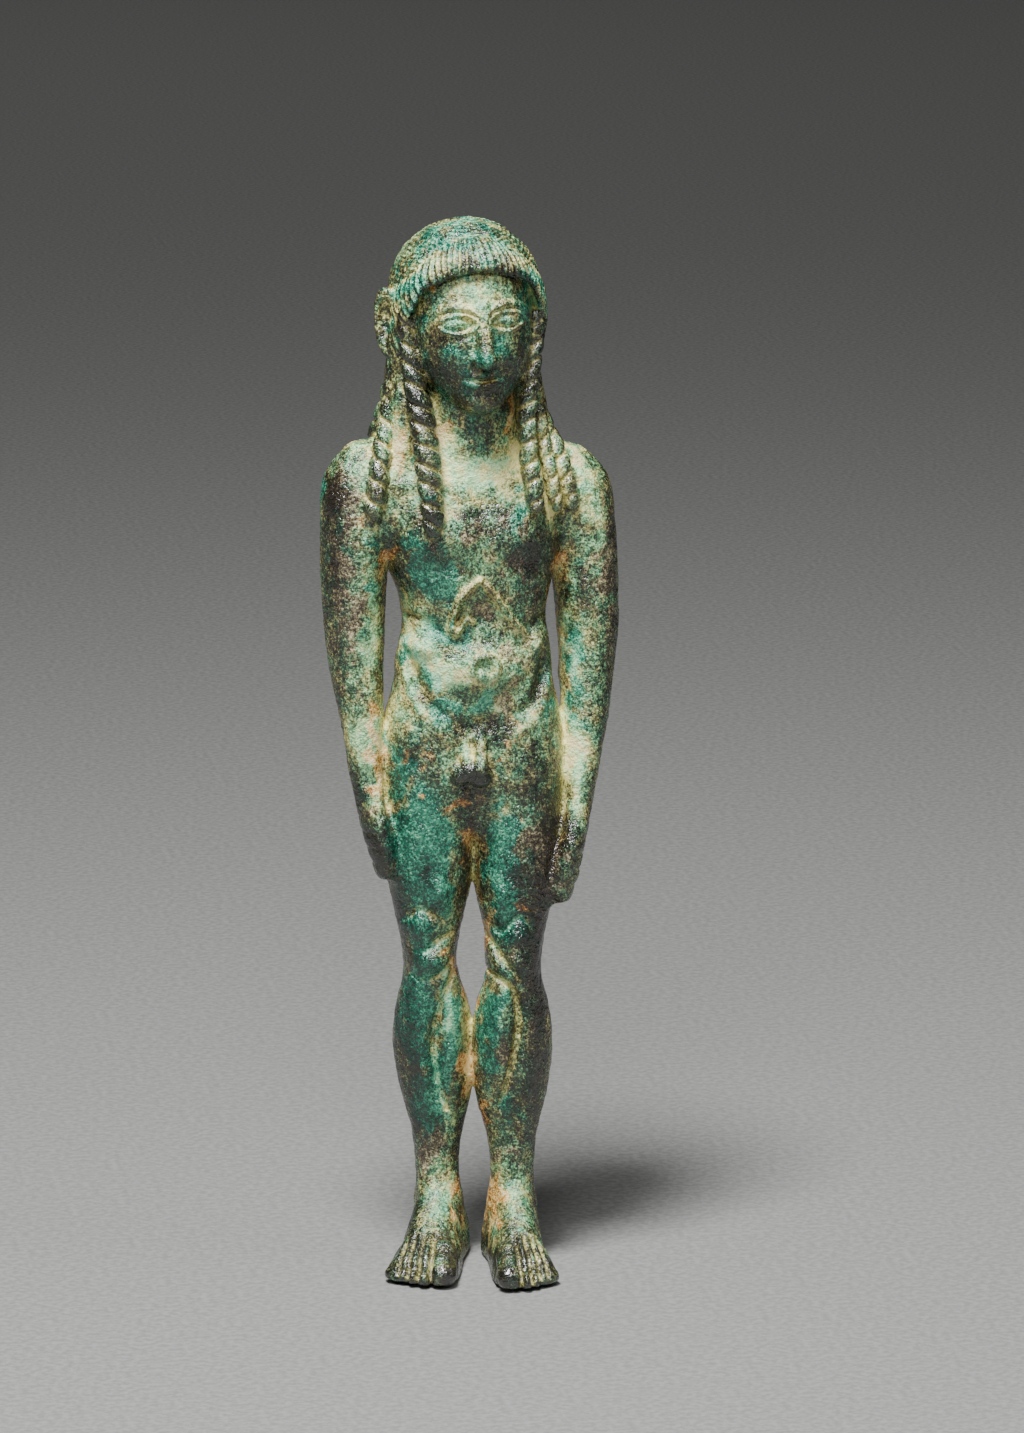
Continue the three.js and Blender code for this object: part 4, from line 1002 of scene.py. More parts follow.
# Where the field is flatter than this, squared, a step along it would overshoot
LEAST_SQUARE = 0.04


def settled(points, rounds, longest=0.25):
    """Moves points along the gradient onto the surface, by no more than longest at a time."""
    for _ in range(rounds):
        value, gradient = slopes(points)
        size = np.maximum((gradient**2).sum(1), LEAST_SQUARE)
        move = -(value / size)[:, None] * gradient
        length = np.linalg.norm(move, axis=1)
        move *= (np.minimum(length, longest) / np.maximum(length, 1e-9))[:, None]
        points = points + move
        points[:, 2] = np.maximum(points[:, 2], 0)
    return points


# The longest edge wanted, short on the hair and face and longer on the smooth limbs, and where: over
# and under which level, how far back, and how near to and far from the midline. Later rows win.
EDGE_LENGTHS = [
    (0.95, -math.inf, math.inf, math.inf, -1, math.inf),
    (0.6, 60, 88, -2, -1, 10),
    (0.65, 30, 50, -2, -1, math.inf),
    (0.5, -math.inf, 8, math.inf, -1, math.inf),
    (0.6, 91, math.inf, 1, -1, math.inf),
    (0.4, 92, 112, -1, 4, 15),
    (0.4, 106, math.inf, 3, -1, math.inf),
    (0.3, 114, math.inf, 3, -1, math.inf),
]


def allowed_length(points):
    """The longest edge wanted at each point."""
    x, y, z = points.T
    side = np.abs(x)
    allowed = np.zeros(len(points))
    for length, low, high, back, inner, outer in EDGE_LENGTHS:
        allowed[(z > low) & (z < high) & (y < back) & (side > inner) & (side < outer)] = length
    return allowed


def refined(points, faces):
    """Splits the edges that are too long at their middles."""
    pairs = np.sort(np.concatenate([faces[:, [0, 1]], faces[:, [1, 2]], faces[:, [2, 0]]]), axis=1)
    keys, where = np.unique(pairs[:, 0] * len(points) + pairs[:, 1], return_inverse=True)
    ends = points[np.stack([keys // len(points), keys % len(points)], 1)]
    middles = ends.mean(1)
    long = np.linalg.norm(ends[:, 0] - ends[:, 1], axis=1) > allowed_length(middles)
    number = np.full(len(keys), -1)
    number[long] = len(points) + np.arange(long.sum())
    split = number[where].reshape(3, -1).T
    points = np.vstack([points, middles[long]])
    kept = (split < 0).all(1)
    whole = (split >= 0).all(1)
    parts = [faces[kept]]
    a, b, c = faces[whole].T
    ab, bc, ca = split[whole].T
    parts += [np.stack(t, 1) for t in ((a, ab, ca), (b, bc, ab), (c, ca, bc), (ab, bc, ca))]
    for turn in range(3):
        a, b, c = np.roll(faces, -turn, axis=1).T
        ab, bc, ca = np.roll(split, -turn, axis=1).T
        one = (ab >= 0) & (bc < 0) & (ca < 0)
        parts += [np.stack(t, 1)[one] for t in ((a, ab, c), (ab, b, c))]
        two = (ab >= 0) & (bc >= 0) & (ca < 0)
        parts += [np.stack(t, 1)[two] for t in ((a, ab, bc), (ab, b, bc), (a, bc, c))]
    return points, np.concatenate(parts)


def linked(name, data):
    """A new object in the scene."""
    thing = bpy.data.objects.new(name, data)
    bpy.context.scene.collection.objects.link(thing)
    return thing


def mesh_of(points, faces):
    mesh = bpy.data.meshes.new("figure")
    mesh.vertices.add(len(points))
    mesh.vertices.foreach_set("co", points.ravel())
    mesh.loops.add(faces.size)
    mesh.loops.foreach_set("vertex_index", faces.ravel().astype(np.int32))
    mesh.polygons.add(len(faces))
    mesh.polygons.foreach_set("loop_start", np.arange(0, faces.size, 3, dtype=np.int32))
    mesh.update(calc_edges=True)
    return mesh


def thinned(mesh, ratio):
    """The mesh after a collapse of its least telling edges."""
    helper = linked("helper", mesh)
    modifier = helper.modifiers.new("collapse", "DECIMATE")
    modifier.ratio = ratio
    modifier.use_collapse_triangulate = True
    graph = bpy.context.evaluated_depsgraph_get()
    result = bpy.data.meshes.new_from_object(helper.evaluated_get(graph), depsgraph=graph)
    bpy.data.objects.remove(helper)
    return result


def triangles(mesh):
    flat = np.zeros(len(mesh.loops), np.int32)
    mesh.loops.foreach_get("vertex_index", flat)
    return flat.reshape(-1, 3).astype(int)


def coordinates(mesh):
    flat = np.zeros(len(mesh.vertices) * 3, np.float32)
    mesh.vertices.foreach_get("co", flat)
    return flat.reshape(-1, 3).astype(float)


# Marks on the form that lead the patina, and the painted light and shading

# Patches on the front by colour, each a soft oval: middle across, level, half width, half height and
# strength. Besides patina, the dark spots paint shading in the armpits, under the belly, between the
# thighs and along the outer edges of the arms, and the pale spots also paint highlights on the hips and
# the top of the chest.
PATCHES = {
    "teal": """
        -1 128.4 7 3 .4; -7.5 121 2 4 .5; 7 121 2 4 .5; -1 113 6 5 .4; -6 46 2 2 .4; -6.4 57.5 2 5 1
        -8.2 54.2 2.2 4 1.2; -4.6 53.4 2 3.6 1.2; -9.4 63 .8 3 .8; -6 48.5 2.6 2.4 1
        -4.3 47 1.2 1.5 .9; -6.8 43.4 1.8 2 .9; -5.6 39.2 1.9 2 1; -7 33 1.8 4.3 1.3
        -7.8 30 1.2 3 1.2; -3.1 29.6 1.1 5 1.1; -4.6 23 1.3 3.4 .9; -6.6 21 1.4 2.4 .8
        3 54.4 1.3 3.4 1.1; 3.2 48.4 1.4 4 1.2; 4.8 42.6 1.5 2 1.1; 1.3 30 .9 4.6 1.3; 2.8 33 1 2.4 .8
        3.5 20.4 1 2.6 .8; 4.2 55.6 1.8 .9 .9; -5 87.5 2.2 3.4 .9; -8 89 1.6 2.6 .9; -5.1 80.2 1 1 1.2
        -13 86 1 1 1.3; -8.5 78 1 2 .9; -6 74.3 .9 1.2 .8; -3.5 71.2 1.3 1 1.4; .3 71.6 1 .9 1.3
        -9 65.2 .8 1 1.2; -8.4 10 1.2 1.6 .8; -6.2 98.6 1.2 2 .9; 12.4 75 1.2 6 1; -4 128 1.6 1 .4
        5.2 95 1.6 2 .7; -12.9 90.5 1 2 .5; -11 65 .6 4 .5; 4.5 120 1.5 1.5 .5; -3 79 1.6 1 .8
        9 71 1 3 .6; -6 19 1.4 3 .6
    """,
    "pale": """
        -9.4 103 1.6 3 .5; 3.4 101 2 1.8 .8; -7 98 1.6 2 .6; -15.6 90 1.4 1.6 .4; -5.4 75.6 1.8 1.4 .5
        1.4 71.4 2 1.4 .7; -3.2 33 1.2 3 .5; .8 83 1 1.2 .4; 10.8 80 .8 2.4 .6; -8.4 80.6 .8 2.4 .5
        -.2 111.9 1.8 .7 .5; -1.2 124.8 4 1.4 .5; -2 31 1.2 5 .8; -1.2 5 1.4 2.4 .9; .3 99.8 3.4 2 .5
        -4.6 103 2.4 2 .6; 8 102 1.6 5 .8; 8.8 93.4 1 2.4 .9; -14 68.4 1.4 2 .5; -9.8 70 1 2.6 .5
        -7.8 79.2 1 3 .5; .8 89 1.4 2 .5; -8.8 82.4 .8 2.2 1; -12.7 81 .8 7 1; 11.3 76 .9 6 .8
        7.6 101 1.2 4 .9; -3.4 101.5 1.8 2 1; -1.2 124.8 5 1.2 .5; -11 103.5 2 3 .6; 15.6 91 1.2 3 .6
        -3.9 98 1.5 3.4 1.1; -6.4 101.4 1.2 1.4 1.1; .4 99.4 3.4 2.2 1.1; 2.9 98.6 1.8 2 .9
        5.1 101.6 1.6 2 .8; -9.8 105 1.2 3 1.3; -12.2 101.6 1.4 2 .6; -14.4 99 1.8 2.2 .7
        -12.6 97.6 1 1.6 .7; 10.2 101 1.2 3.4 1; 12.8 100.6 1.6 3 1; 9.8 97 1.2 2 .9
        12.2 96.6 1.8 1.8 .8; 15 95.6 1.6 2.4 .7; 9.6 93.6 1 1.6 .6; 14.4 93 1.6 2 .5
        -8.2 79.4 1.7 2 1.3; -6.2 77.6 1.6 1.6 .8; -5.4 75.4 1.8 1.6 1.4; -3.4 74.8 1.6 1.6 1
        -.6 75 2.4 1.6 .7; 3.4 75.4 2.6 1.8 .6; 4.6 78.6 2 1.2 .5; 7.4 79 .9 1.4 .7
        12.2 77 1.2 4.4 .9; 14 79 1 2 .4; -12.4 79 1.2 2.4 .5; -9.9 71 1 3.4 .6
        -14.6 67.6 1.2 2.6 1.2; -12.4 67.4 1 3.6 1; -14.4 64 1 1.6 .7; -12.3 60.6 .8 3.4 .9
        -8 70.6 1.8 3 .3; -3.8 64.6 1.4 1.6 .7; -1.5 65.6 .8 2 1; 1.8 64.8 1.2 1.4 .7
        4.8 68.4 1.4 1.6 .7; 9.8 68.4 1 2.4 .7; 12.2 68.2 1.2 2 .9; 12.1 64.4 1.2 3 1.4
        12.3 60.6 1 2.2 1.1; 12 57 1 2 .7; 14.3 64.4 .9 2 .6; -6 57.4 1.2 1.8 .4; 3 57.6 1.4 2 .6
        -3.3 42.4 .9 2.6 .6; -3.2 34.6 .9 2 .9; -3.1 30.6 .8 2 .5; .9 35.4 .9 2.4 1.1
        3.1 35.2 1 1.6 .8; -.9 31 .7 2.4 .9; 1.2 31 .8 2.4 .5; -.9 25.4 .6 3.6 .7; 1.2 42 .8 2 .6
        -3.2 20 .8 2 .6; -5.8 9 1.1 2 .7; -3.7 9 1.1 2.2 1; -5 12.6 2 1.2 .4; 2.6 9.4 1.1 2.6 .8
        5 9 1.2 2.2 .9; 3 12.4 1 1.4 .6; 2.4 5.4 1.1 1.4 .8; -6.6 3.4 1 1 .7; -8.6 3.6 1.2 1 .4
        6.4 3.6 1 1 .8; 1.2 4.2 .6 2 .7; -1.2 122 3.6 1.4 .9; 1 118.6 3 2 .3; -9.2 119 1 3 .5
        8.6 119 .8 2.4 .6; -5 105.6 1.2 3 .8; 4.6 106.4 1 2.4 .8
    """,
    "dark": """
        -8.8 107 1.2 3 .3; 13.4 83.6 1.6 4 .7; 4.4 50.4 1.2 1.6 .7; -12.4 98.6 1.4 2 .5
        6.8 19.6 1.4 4 .6; -8.4 14 1 8 .5; -5 46 1.4 1.4 .5; 5.2 43.4 1.4 1.2 .4; -5 34 6 20 .35
        6 34 4 20 .55; .8 94.8 2.6 2.4 .6; -7.4 91 1.6 5 .45; -6.8 43.4 1.3 1.3 .5; 5 42.6 1.3 1.2 .5
        -7.2 66.6 1.6 4 .4; 2.4 68 3 1.6 .6; 9 54 1.4 9 .6; 11.2 54 1.4 4 .8; -16.6 97.5 1.6 3 .8
        -12.4 54 2 4 .6; -10.4 55 1.4 5 .6; -6.2 50 1.4 1.4 .6; -9.4 6.8 2.4 3.4 1; 4.6 5.4 1.6 1.6 .8
        -4.4 66.6 1.4 2 .5; -.2 62.4 2.4 1.6 1.2; -.6 58.6 2 3 .8; 7.3 62.6 1.7 3.4 .9
        5 60.4 1.4 1.6 .6; 7.4 90 2.6 3 1.2; 5 89.6 2 2 .6; 2.6 90 1.8 1.6 .5; 7.2 86.2 1.8 2.4 .7
        -1.8 93.6 2 1.2 .5; 5.6 83 1.6 3 .4; .6 83.6 1.7 1.2 .15; .3 68.6 2.8 1.2 .9
        -1.8 68.6 1.4 1.6 .6; -10.1 88 1 3.6 .9; -6.4 90.4 1 1 .7; 7.6 75 1 2.6 .7; -8 64.4 1.2 1.8 .6
        -17.4 95 1.6 6 .9; -17.4 86 1.4 6 .6; 17 91 1.2 8 .6; 16.6 76 1 5 .7; 7.6 52.6 2 6 .6
        9.9 53 1.4 6 .5; 5.4 49 1.4 2 .6; 7.7 46 1.6 3 1.1; 5.3 46.4 1.6 1.4 .7; 7.7 42 1.4 3.4 .9
        5.4 38.6 1.4 1.8 .7; 7.8 38 1.2 3 .8; 7.7 30 1.2 9 .9; 5.2 22 1.2 4 .5; -12.2 53 1.4 3 .9
        -14.4 59.4 1.2 3 1; -10 48.6 1.4 3.4 .6; -9.6 45.4 1.2 3 .7; -7.8 46.6 1.2 1.6 .5
        -5.6 38.8 1.2 1.4 .5; -7.7 26 1.4 5.4 .9; -9.6 30 .8 6 .8; -7.6 18 1.2 3 .7
        -5 16.4 1.6 1.6 .6; 4.8 16 1.4 1.6 .5; -5.6 49.6 1.4 1 .4; -4.4 2 1.5 1.6 1.2; 2 2 1.6 1.6 1.1
        -8 2 1.2 1 .5; .6 111 5 3.6 .8; 3.8 113 3 4 .4; -4.6 113.6 2.4 4 .5; -1 128.4 6 1.6 .4
        .4 103.6 2.6 1.6 .5; -6.5 97 1 6 .5; -8 107 1 5 .7; -6.3 112 .9 3 .6; -1.1 49.6 .8 2.4 .8
    """,
    "brown": """
        -5.2 14.4 2.4 2.4 1.2; 4.9 14.6 2.2 2.4 .9; -16.6 86 1.6 12 .9; -14.6 83 1.2 6 .6
        7.7 54 2.2 6 .9; 9.9 50 1.4 4 .7; 4 76 3 4 .5; -14.6 98 1.6 2.4 .5; 3.2 28 .7 2.4 .5
        7.7 44 1.2 4 .7; 7.7 34 1 10 .6; -16 97 1.6 5 .7; 2.6 93.6 2.4 1.6 .7; -2 93 2 2 .6
        5 89.4 2.4 3 .9; 6.2 84 2 4 .6; 16.8 86 1.4 9 .7; 14.3 86 1.4 4 .5; 2.6 70 1.4 2 .6
        -.8 57 1.2 3 .8; -.8 52 1 3 .7; -4.4 2 1.4 1.6 .4; 2 2 1.4 1.6 .4; -13 60 1 3 .4
        .4 83 1.4 1.4 .6
    """,
    "ochre": """
        -12.6 68.4 .7 2 1.1; -12.2 64 .6 3.4 1.3; -12.4 60.4 .8 1.4 1.2; -1.8 58.9 1 .6 1.3
        -.5 53.5 .8 2 .6; -6.2 64.8 .8 1.2 .35; 2.5 64.6 .4 .5 1.2; -.5 34.3 .5 1.5 1.2
        -.8 24.4 .5 2.6 1.2; 1.2 20.2 .6 1.8 1; -11.4 90 .7 1 1.4; 10.6 87.5 .8 1.2 1
        -9.3 64.8 .7 1.4 .5; -6.4 60.3 .5 .5 1.2; 12 65.4 .8 2.2 1; -9.8 104 1 3 .8
        -12 101 1.2 1.4 .7; -6.2 101.6 1 1 .8; 12.8 101 1.4 1.6 .8; 11.6 97 1.4 1.2 .7
        7.2 97 .6 1.4 .6; 1.1 41.6 .5 3 1.1; -2.6 38 .5 1.6 .6; -3.2 40 1 .5 .5; 6.2 45.6 1.4 .4 .6
        2.2 9 .7 2.6 .9; -3 8.4 .6 2.4 .6; -10 84 .5 3 .6; 1.6 8.6 .9 3.4 .5; -2.4 8.2 .8 3 .4
        -4.6 104.6 1 2 .9; 4.2 105.6 .8 2 .9; .4 103 2 1.2 .4; .4 6.4 .7 3 .8; -13.6 97 .7 3 .4
        -5.4 122.2 .5 .6 1; 9.6 82 .5 4 .5; 4.4 68.4 .6 2 .5
    """,
}


# How strongly each colour drifts over the hidden back, and between which depths front turns to back
DRIFTS = {"teal": 0.75, "pale": 0.6, "dark": 0.65, "brown": 0.6, "ochre": 0.3}
FRONT_ENDS = -1.5
BACK_STARTS = 2.5
MOST_COLOUR = 1.4


def spots(text):
    """The patches of one colour as soft oval rises."""
    rows = [map(float, row.split()) for row in text.replace("\n", ";").split(";") if row.strip()]
    return [(strength, cx, cz, half_x, half_z) for cx, cz, half_x, half_z, strength in rows]


def patch_mark(name, x, y, z):
    """How strongly a point lies in one colour's patches: placed in front, drifting elsewhere."""
    seed = sorted(PATCHES).index(name)
    # The patches' edges wander by half a millimetre or so
    across = x + 0.45 * wavy(x, y, z, 3.4, seed + 10)
    level = z + 0.7 * wavy(x, y, z, 3.8, seed + 20)
    total = swollen(across, level, spots(PATCHES[name]))
    drift = np.clip(0.45 * wavy(x, y, z, 9, seed + 30) + 0.35 * wavy(x, y, z, 4, seed + 40), 0, 1)
    behind = step(y, FRONT_ENDS, BACK_STARTS)
    return np.minimum(total, MOST_COLOUR) * (1 - behind) + DRIFTS[name] * drift * behind


# Each side and which way x runs there
SIDES = (("right", -1), ("left", 1))


def painted_strand_light_mark(x, y, z):
    """1 on the thin strands of the fringe and the rings of the crown, and -1 between them: painted
    light on the strands and painted shadow between them.
    """
    x, y = local(x, y, z)
    hx, hz = rolled(x, z)
    gap, depth, *_ = hair_lines(hx, y, hz)
    on_hair = step(hz - fringe_line(hx), -0.1, 0.4) * step(z, 112, 114)
    return on_hair * np.clip(depth * 4, 0, 1) * np.clip(1 - 2.2 * gap, -1, 1)


def line_mark(x, y, z):
    """1 along the trunk's ridges and the legs' furrows, and less than 0 in the trunk's folds. On the
    trunk this paints the ridges light and the folds in shadow; in the legs' furrows it is pale patina.
    """
    lines = [(1 if cut < 0 else -0.6, 1.1 * width, *rest) for cut, width, *rest in TRUNK_LINES]
    total = np.where(z > 60, drawn(x, z, lines), 0)
    for side, sign in SIDES:
        lines = [(1, 1.1 * width, *rest) for cut, width, *rest in LEG_LINES[side] if cut > 0]
        total = total + np.where(x * sign > 0, drawn(x * sign, z, lines), 0)
    return np.where(y < -1, np.minimum(total, 1), 0)


def worn_mark(x, y, z):
    """1 where hands have rubbed the metal dark and bright: locks, toes and loins."""
    on_lock = np.min([lock(x, y, z) for lock in locks], axis=0)
    rubbed = 1 - step(on_lock, 0.05, 0.35)
    rubbed = np.maximum(rubbed, (1 - step(loins(x, y, z), 0.1, 0.4)) * (1 - step(z, 63.5, 65.5)))
    for side, sign in SIDES:
        across, ahead = along_foot(x, y, side)
        great = 1 - step(np.abs(across + 2.1), 1.3, 2.1)
        others = step(ahead, 8.5, 11.5) * step(across, -1.6, -0.9)
        toe = np.maximum(great * step(ahead, 6, 9.5), others) * (1 - step(z, 5.5, 7.5))
        rubbed = np.maximum(rubbed, np.where(x * sign > 0, toe, 0))
    return rubbed


def painted_fringe_shadow_mark(x, y, z):
    """1 along the lower edge of the fringe, where its shadow is painted dark."""
    x, y = local(x, y, z)
    hx, hz = rolled(x, z)
    return bump(hz - fringe_line(hx) - 0.1, 0.9) * step(-y, 3, 6) * step(z, 111, 114)


def lay_marks(mesh, points):
    """One number per vertex for each mark: hollows, ridges, shelter, sides, hair strands, lines, wear
    and patches, some of which paint light and shadow.
    """
    _, gradient = slopes(points)
    steep = np.linalg.norm(gradient, axis=1)
    normals = gradient / steep[:, None]
    up = np.array([0, 0, 1])

    def closed(way, reach):
        """Near 1 where the form closes in within reach along a way, and 0 in the open."""
        return np.clip(1 - field(points + way * reach) / (steep * reach), 0, 1)

    marks = {
        "crease": closed(normals, 0.4),
        "hollow": closed(normals, 1.1),
        # Sheltered from above: the material darkens these places a little as painted shading, and
        # gathers soil there
        "shelter": closed(normals * 0.7 + up * 0.6, 4.5),
        "ridge": np.clip(1 + field(points - normals * 0.5) / (steep * 0.5), 0, 1),
        # Faces turned to the sides: painted shading that darkens them, and a more olive crust
        "painted_side_shading": step(np.abs(normals[:, 0]), 0.4, 0.95),
    }
    x, y = local(*points.T)
    z = points[:, 2]
    marks["painted_strand_light"] = painted_strand_light_mark(*points.T)
    marks["worn"] = worn_mark(x, y, z)
    # Under the fringe's edge its shadow is painted dark, and the soil of other hollows is left out
    # there
    fringe_shadow = painted_fringe_shadow_mark(*points.T)
    marks["crease"] *= 1 - fringe_shadow
    marks["hollow"] *= 1 - fringe_shadow
    broken = 0.45 + 0.55 * step(wavy(*points.T, 1.5, 51), -0.6, 0.8)
    marks["line"] = line_mark(x, y, z) * broken
    for name in PATCHES:
        marks[name] = patch_mark(name, x, y, z)
    # The fringe's painted shadow joins the dark spots
    marks["dark"] += fringe_shadow
    marks["pale"] *= 1 - 0.45 * marks["worn"]
    for name, values in marks.items():
        attribute = mesh.attributes.new(name, "FLOAT", "POINT")
        attribute.data.foreach_set("value", values.astype(np.float32))


def built():
    """The figure's mesh in drawn millimetres, with the field followed closely where it is fine."""
    points, faces = surface(CELL)
    points, faces = largest_piece(points, faces)
    points = settled(points, 2)
    coarse = thinned(mesh_of(points, faces), FIRST_TRIANGLES / len(faces))
    points, faces = coordinates(coarse), triangles(coarse)
    for _ in range(REFINEMENTS):
        points, faces = refined(points, faces)
        points = settled(points, 1)
    mesh = mesh_of(points, faces)
    if len(faces) > MOST_TRIANGLES:
        mesh = thinned(mesh, MOST_TRIANGLES / len(faces))
    return mesh


def set_in_place(mesh):
    """Lays the marks, then sets the drawn figure in the CAD node's box, with its soles on the floor."""
    points = coordinates(mesh)
    lay_marks(mesh, points)
    low, high = points.min(0), points.max(0)
    node_low, node_high = (np.array(corner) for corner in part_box(NODE))
    scale = (node_high[2] - node_low[2]) / (high[2] - low[2])
    offset = (node_low + node_high) / 2 - (high + low) / 2 * scale
    offset[2] = node_low[2] - low[2] * scale
    mesh.vertices.foreach_set("co", (points * scale + offset).astype(np.float32).ravel())
    mesh.update()
    mesh.shade_smooth()


figure_mesh = built()
set_in_place(figure_mesh)
figure = linked("kouros_statuette", figure_mesh)
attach(figure, "root")
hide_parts(NODE)

# Camera, in degrees and millimetres. Its sensor spans the picture's height, the longer side.

VIEW_AZIMUTH = math.radians(-9)
VIEW_ELEVATION = math.radians(12)
VIEW_ROLL = math.radians(-0.4)
VIEW_DISTANCE = 910
LOOKED_AT = Vector((0, 0, 65))
AIM_RIGHT = 4.28
AIM_UP = 4.10
FRAME_HEIGHT = 175.05
SENSOR = 24
CLIP_START = 0.01
CLIP_END = 50


def make_camera():
    level = math.cos(VIEW_ELEVATION)
    back = Vector(
        (
            math.sin(VIEW_AZIMUTH) * level,
            -math.cos(VIEW_AZIMUTH) * level,
            math.sin(VIEW_ELEVATION),
        )
    )
    level_right = Vector((math.cos(VIEW_AZIMUTH), math.sin(VIEW_AZIMUTH), 0))
    level_up = back.cross(level_right)
    right = level_right * math.cos(VIEW_ROLL) + level_up * math.sin(VIEW_ROLL)
    up = level_up * math.cos(VIEW_ROLL) - level_right * math.sin(VIEW_ROLL)
    aim = LOOKED_AT + right * AIM_RIGHT + up * AIM_UP
    data = bpy.data.cameras.new("camera")
    data.sensor_width = SENSOR
    data.lens = SENSOR * VIEW_DISTANCE / FRAME_HEIGHT
    data.clip_start = CLIP_START
    data.clip_end = CLIP_END
    camera = linked("camera", data)
    turned = Matrix((right, up, back)).transposed().to_4x4()
    camera.matrix_world = Matrix.Translation((aim + back * VIEW_DISTANCE) * MM) @ turned
    bpy.context.scene.camera = camera


make_camera()

# Floor, which reaches this many metres each way from the figure

REACH = 6
floor_mesh = bpy.data.meshes.new("floor")
corners = [(-REACH, -REACH, 0), (REACH, -REACH, 0), (REACH, REACH, 0), (-REACH, REACH, 0)]
floor_mesh.from_pydata(corners, [], [(0, 1, 2, 3)])
floor = linked("floor", floor_mesh)

# Patina, with painted light and shading where the marks above call for it. Lengths in the material are
# millimetres.


class Net:
    """Short calls that add nodes to one material."""

    def __init__(self, name):
        self.material = bpy.data.materials.new(name)
        self.material.use_nodes = True
        self.tree = self.material.node_tree
        self.shader = self.tree.nodes["Principled BSDF"]
        place = self.add("ShaderNodeTexCoord", {}, 3)
        self.place = self.add("ShaderNodeVectorMath", {0: place, 3: 1 / MM}, operation="SCALE")

    def put(self, socket, value):
        if isinstance(value, bpy.types.NodeSocket):
            self.tree.links.new(value, socket)
        else:
            socket.default_value = value

    def add(self, kind, values, output=0, **settings):
        node = self.tree.nodes.new(kind)
        for key, value in settings.items():
            setattr(node, key, value)
        for key, value in values.items():
            self.put(node.inputs[key], value)
        return node.outputs[output]

    def mark(self, name):
        return self.add("ShaderNodeAttribute", {}, 2, attribute_name=name)

    def grain(self, size, detail=2.0, rough=0.55, shift=0.0, stretch=1.0):
        """Noise from 0 to 1 whose blotches are about size across, longer upwards by stretch."""
        moved = self.add(
            "ShaderNodeMapping", {0: self.place, 1: (shift, shift, shift), 3: (1, 1, 1 / stretch)}
        )
        values = {"Vector": moved, "Scale": 1 / size, "Detail": detail, "Roughness": rough}
        noise = self.add("ShaderNodeTexNoise", values)
        return self.rise(noise, 0.3, 0.7)

    def maths(self, operation, *values):
        return self.add("ShaderNodeMath", dict(enumerate(values)), operation=operation)

    def total(self, *terms):
        """The sum of numbers, sockets and (socket, weight) pairs."""
        result = 0.0
        for term in terms:
            if isinstance(term, tuple):
                result = self.add(
                    "ShaderNodeMath", {0: term[0], 1: term[1], 2: result}, operation="MULTIPLY_ADD"
                )
            else:
                result = self.maths("ADD", result, term)
        return result

    def rise(self, value, low, high):
        return self.add(
            "ShaderNodeMapRange", {0: value, 1: low, 2: high}, interpolation_type="SMOOTHSTEP"
        )

    def ramp(self, value, colours):
        """The colours at even steps of a value from 0 to 1, blended between them."""
        node = self.tree.nodes.new("ShaderNodeValToRGB")
        self.put(node.inputs[0], value)
        elements = node.color_ramp.elements
        while len(elements) < len(colours):
            elements.new(0.5)
        for i in range(len(colours)):
            elements[i].position = i / (len(colours) - 1)
        for element, colour in zip(elements, colours):
            element.color = (*colour, 1)
        return node.outputs[0]

    def mix(self, share, first, second):
        return self.add("ShaderNodeMix", {0: share, 6: first, 7: second}, 2, data_type="RGBA")


# Tone ramps of the patina in even steps, from bare worn metal to thick crust, as red, green, blue
GREENS = [
    (0.009, 0.013, 0.007),
    (0.019, 0.038, 0.021),
    (0.048, 0.110, 0.056),
    (0.118, 0.290, 0.134),
    (0.290, 0.640, 0.290),
    (0.600, 0.980, 0.520),
]
OLIVES = [
    (0.015, 0.013, 0.007),
    (0.042, 0.040, 0.017),
    (0.110, 0.106, 0.040),
    (0.275, 0.260, 0.088),
    (0.600, 0.570, 0.180),
    (1.000, 0.930, 0.380),
]
TEALS = [
    (0.002, 0.020, 0.012),
    (0.004, 0.056, 0.034),
    (0.010, 0.130, 0.078),
    (0.034, 0.280, 0.165),
    (0.110, 0.580, 0.360),
    (0.330, 0.900, 0.620),
]
BROWNS = [
    (0.016, 0.012, 0.008),
    (0.044, 0.035, 0.021),
    (0.105, 0.085, 0.047),
    (0.250, 0.205, 0.112),
    (0.570, 0.470, 0.280),
    (0.950, 0.820, 0.560),
]
OCHRES = [
    (0.050, 0.021, 0.006),
    (0.120, 0.046, 0.012),
    (0.290, 0.120, 0.030),
    (0.580, 0.290, 0.070),
    (0.900, 0.580, 0.180),
    (1.000, 0.840, 0.430),
]


GLOSSY_IOR = 1.8
COAT_ROUGHNESS = 0.12
BUMP_DEPTH = 0.14


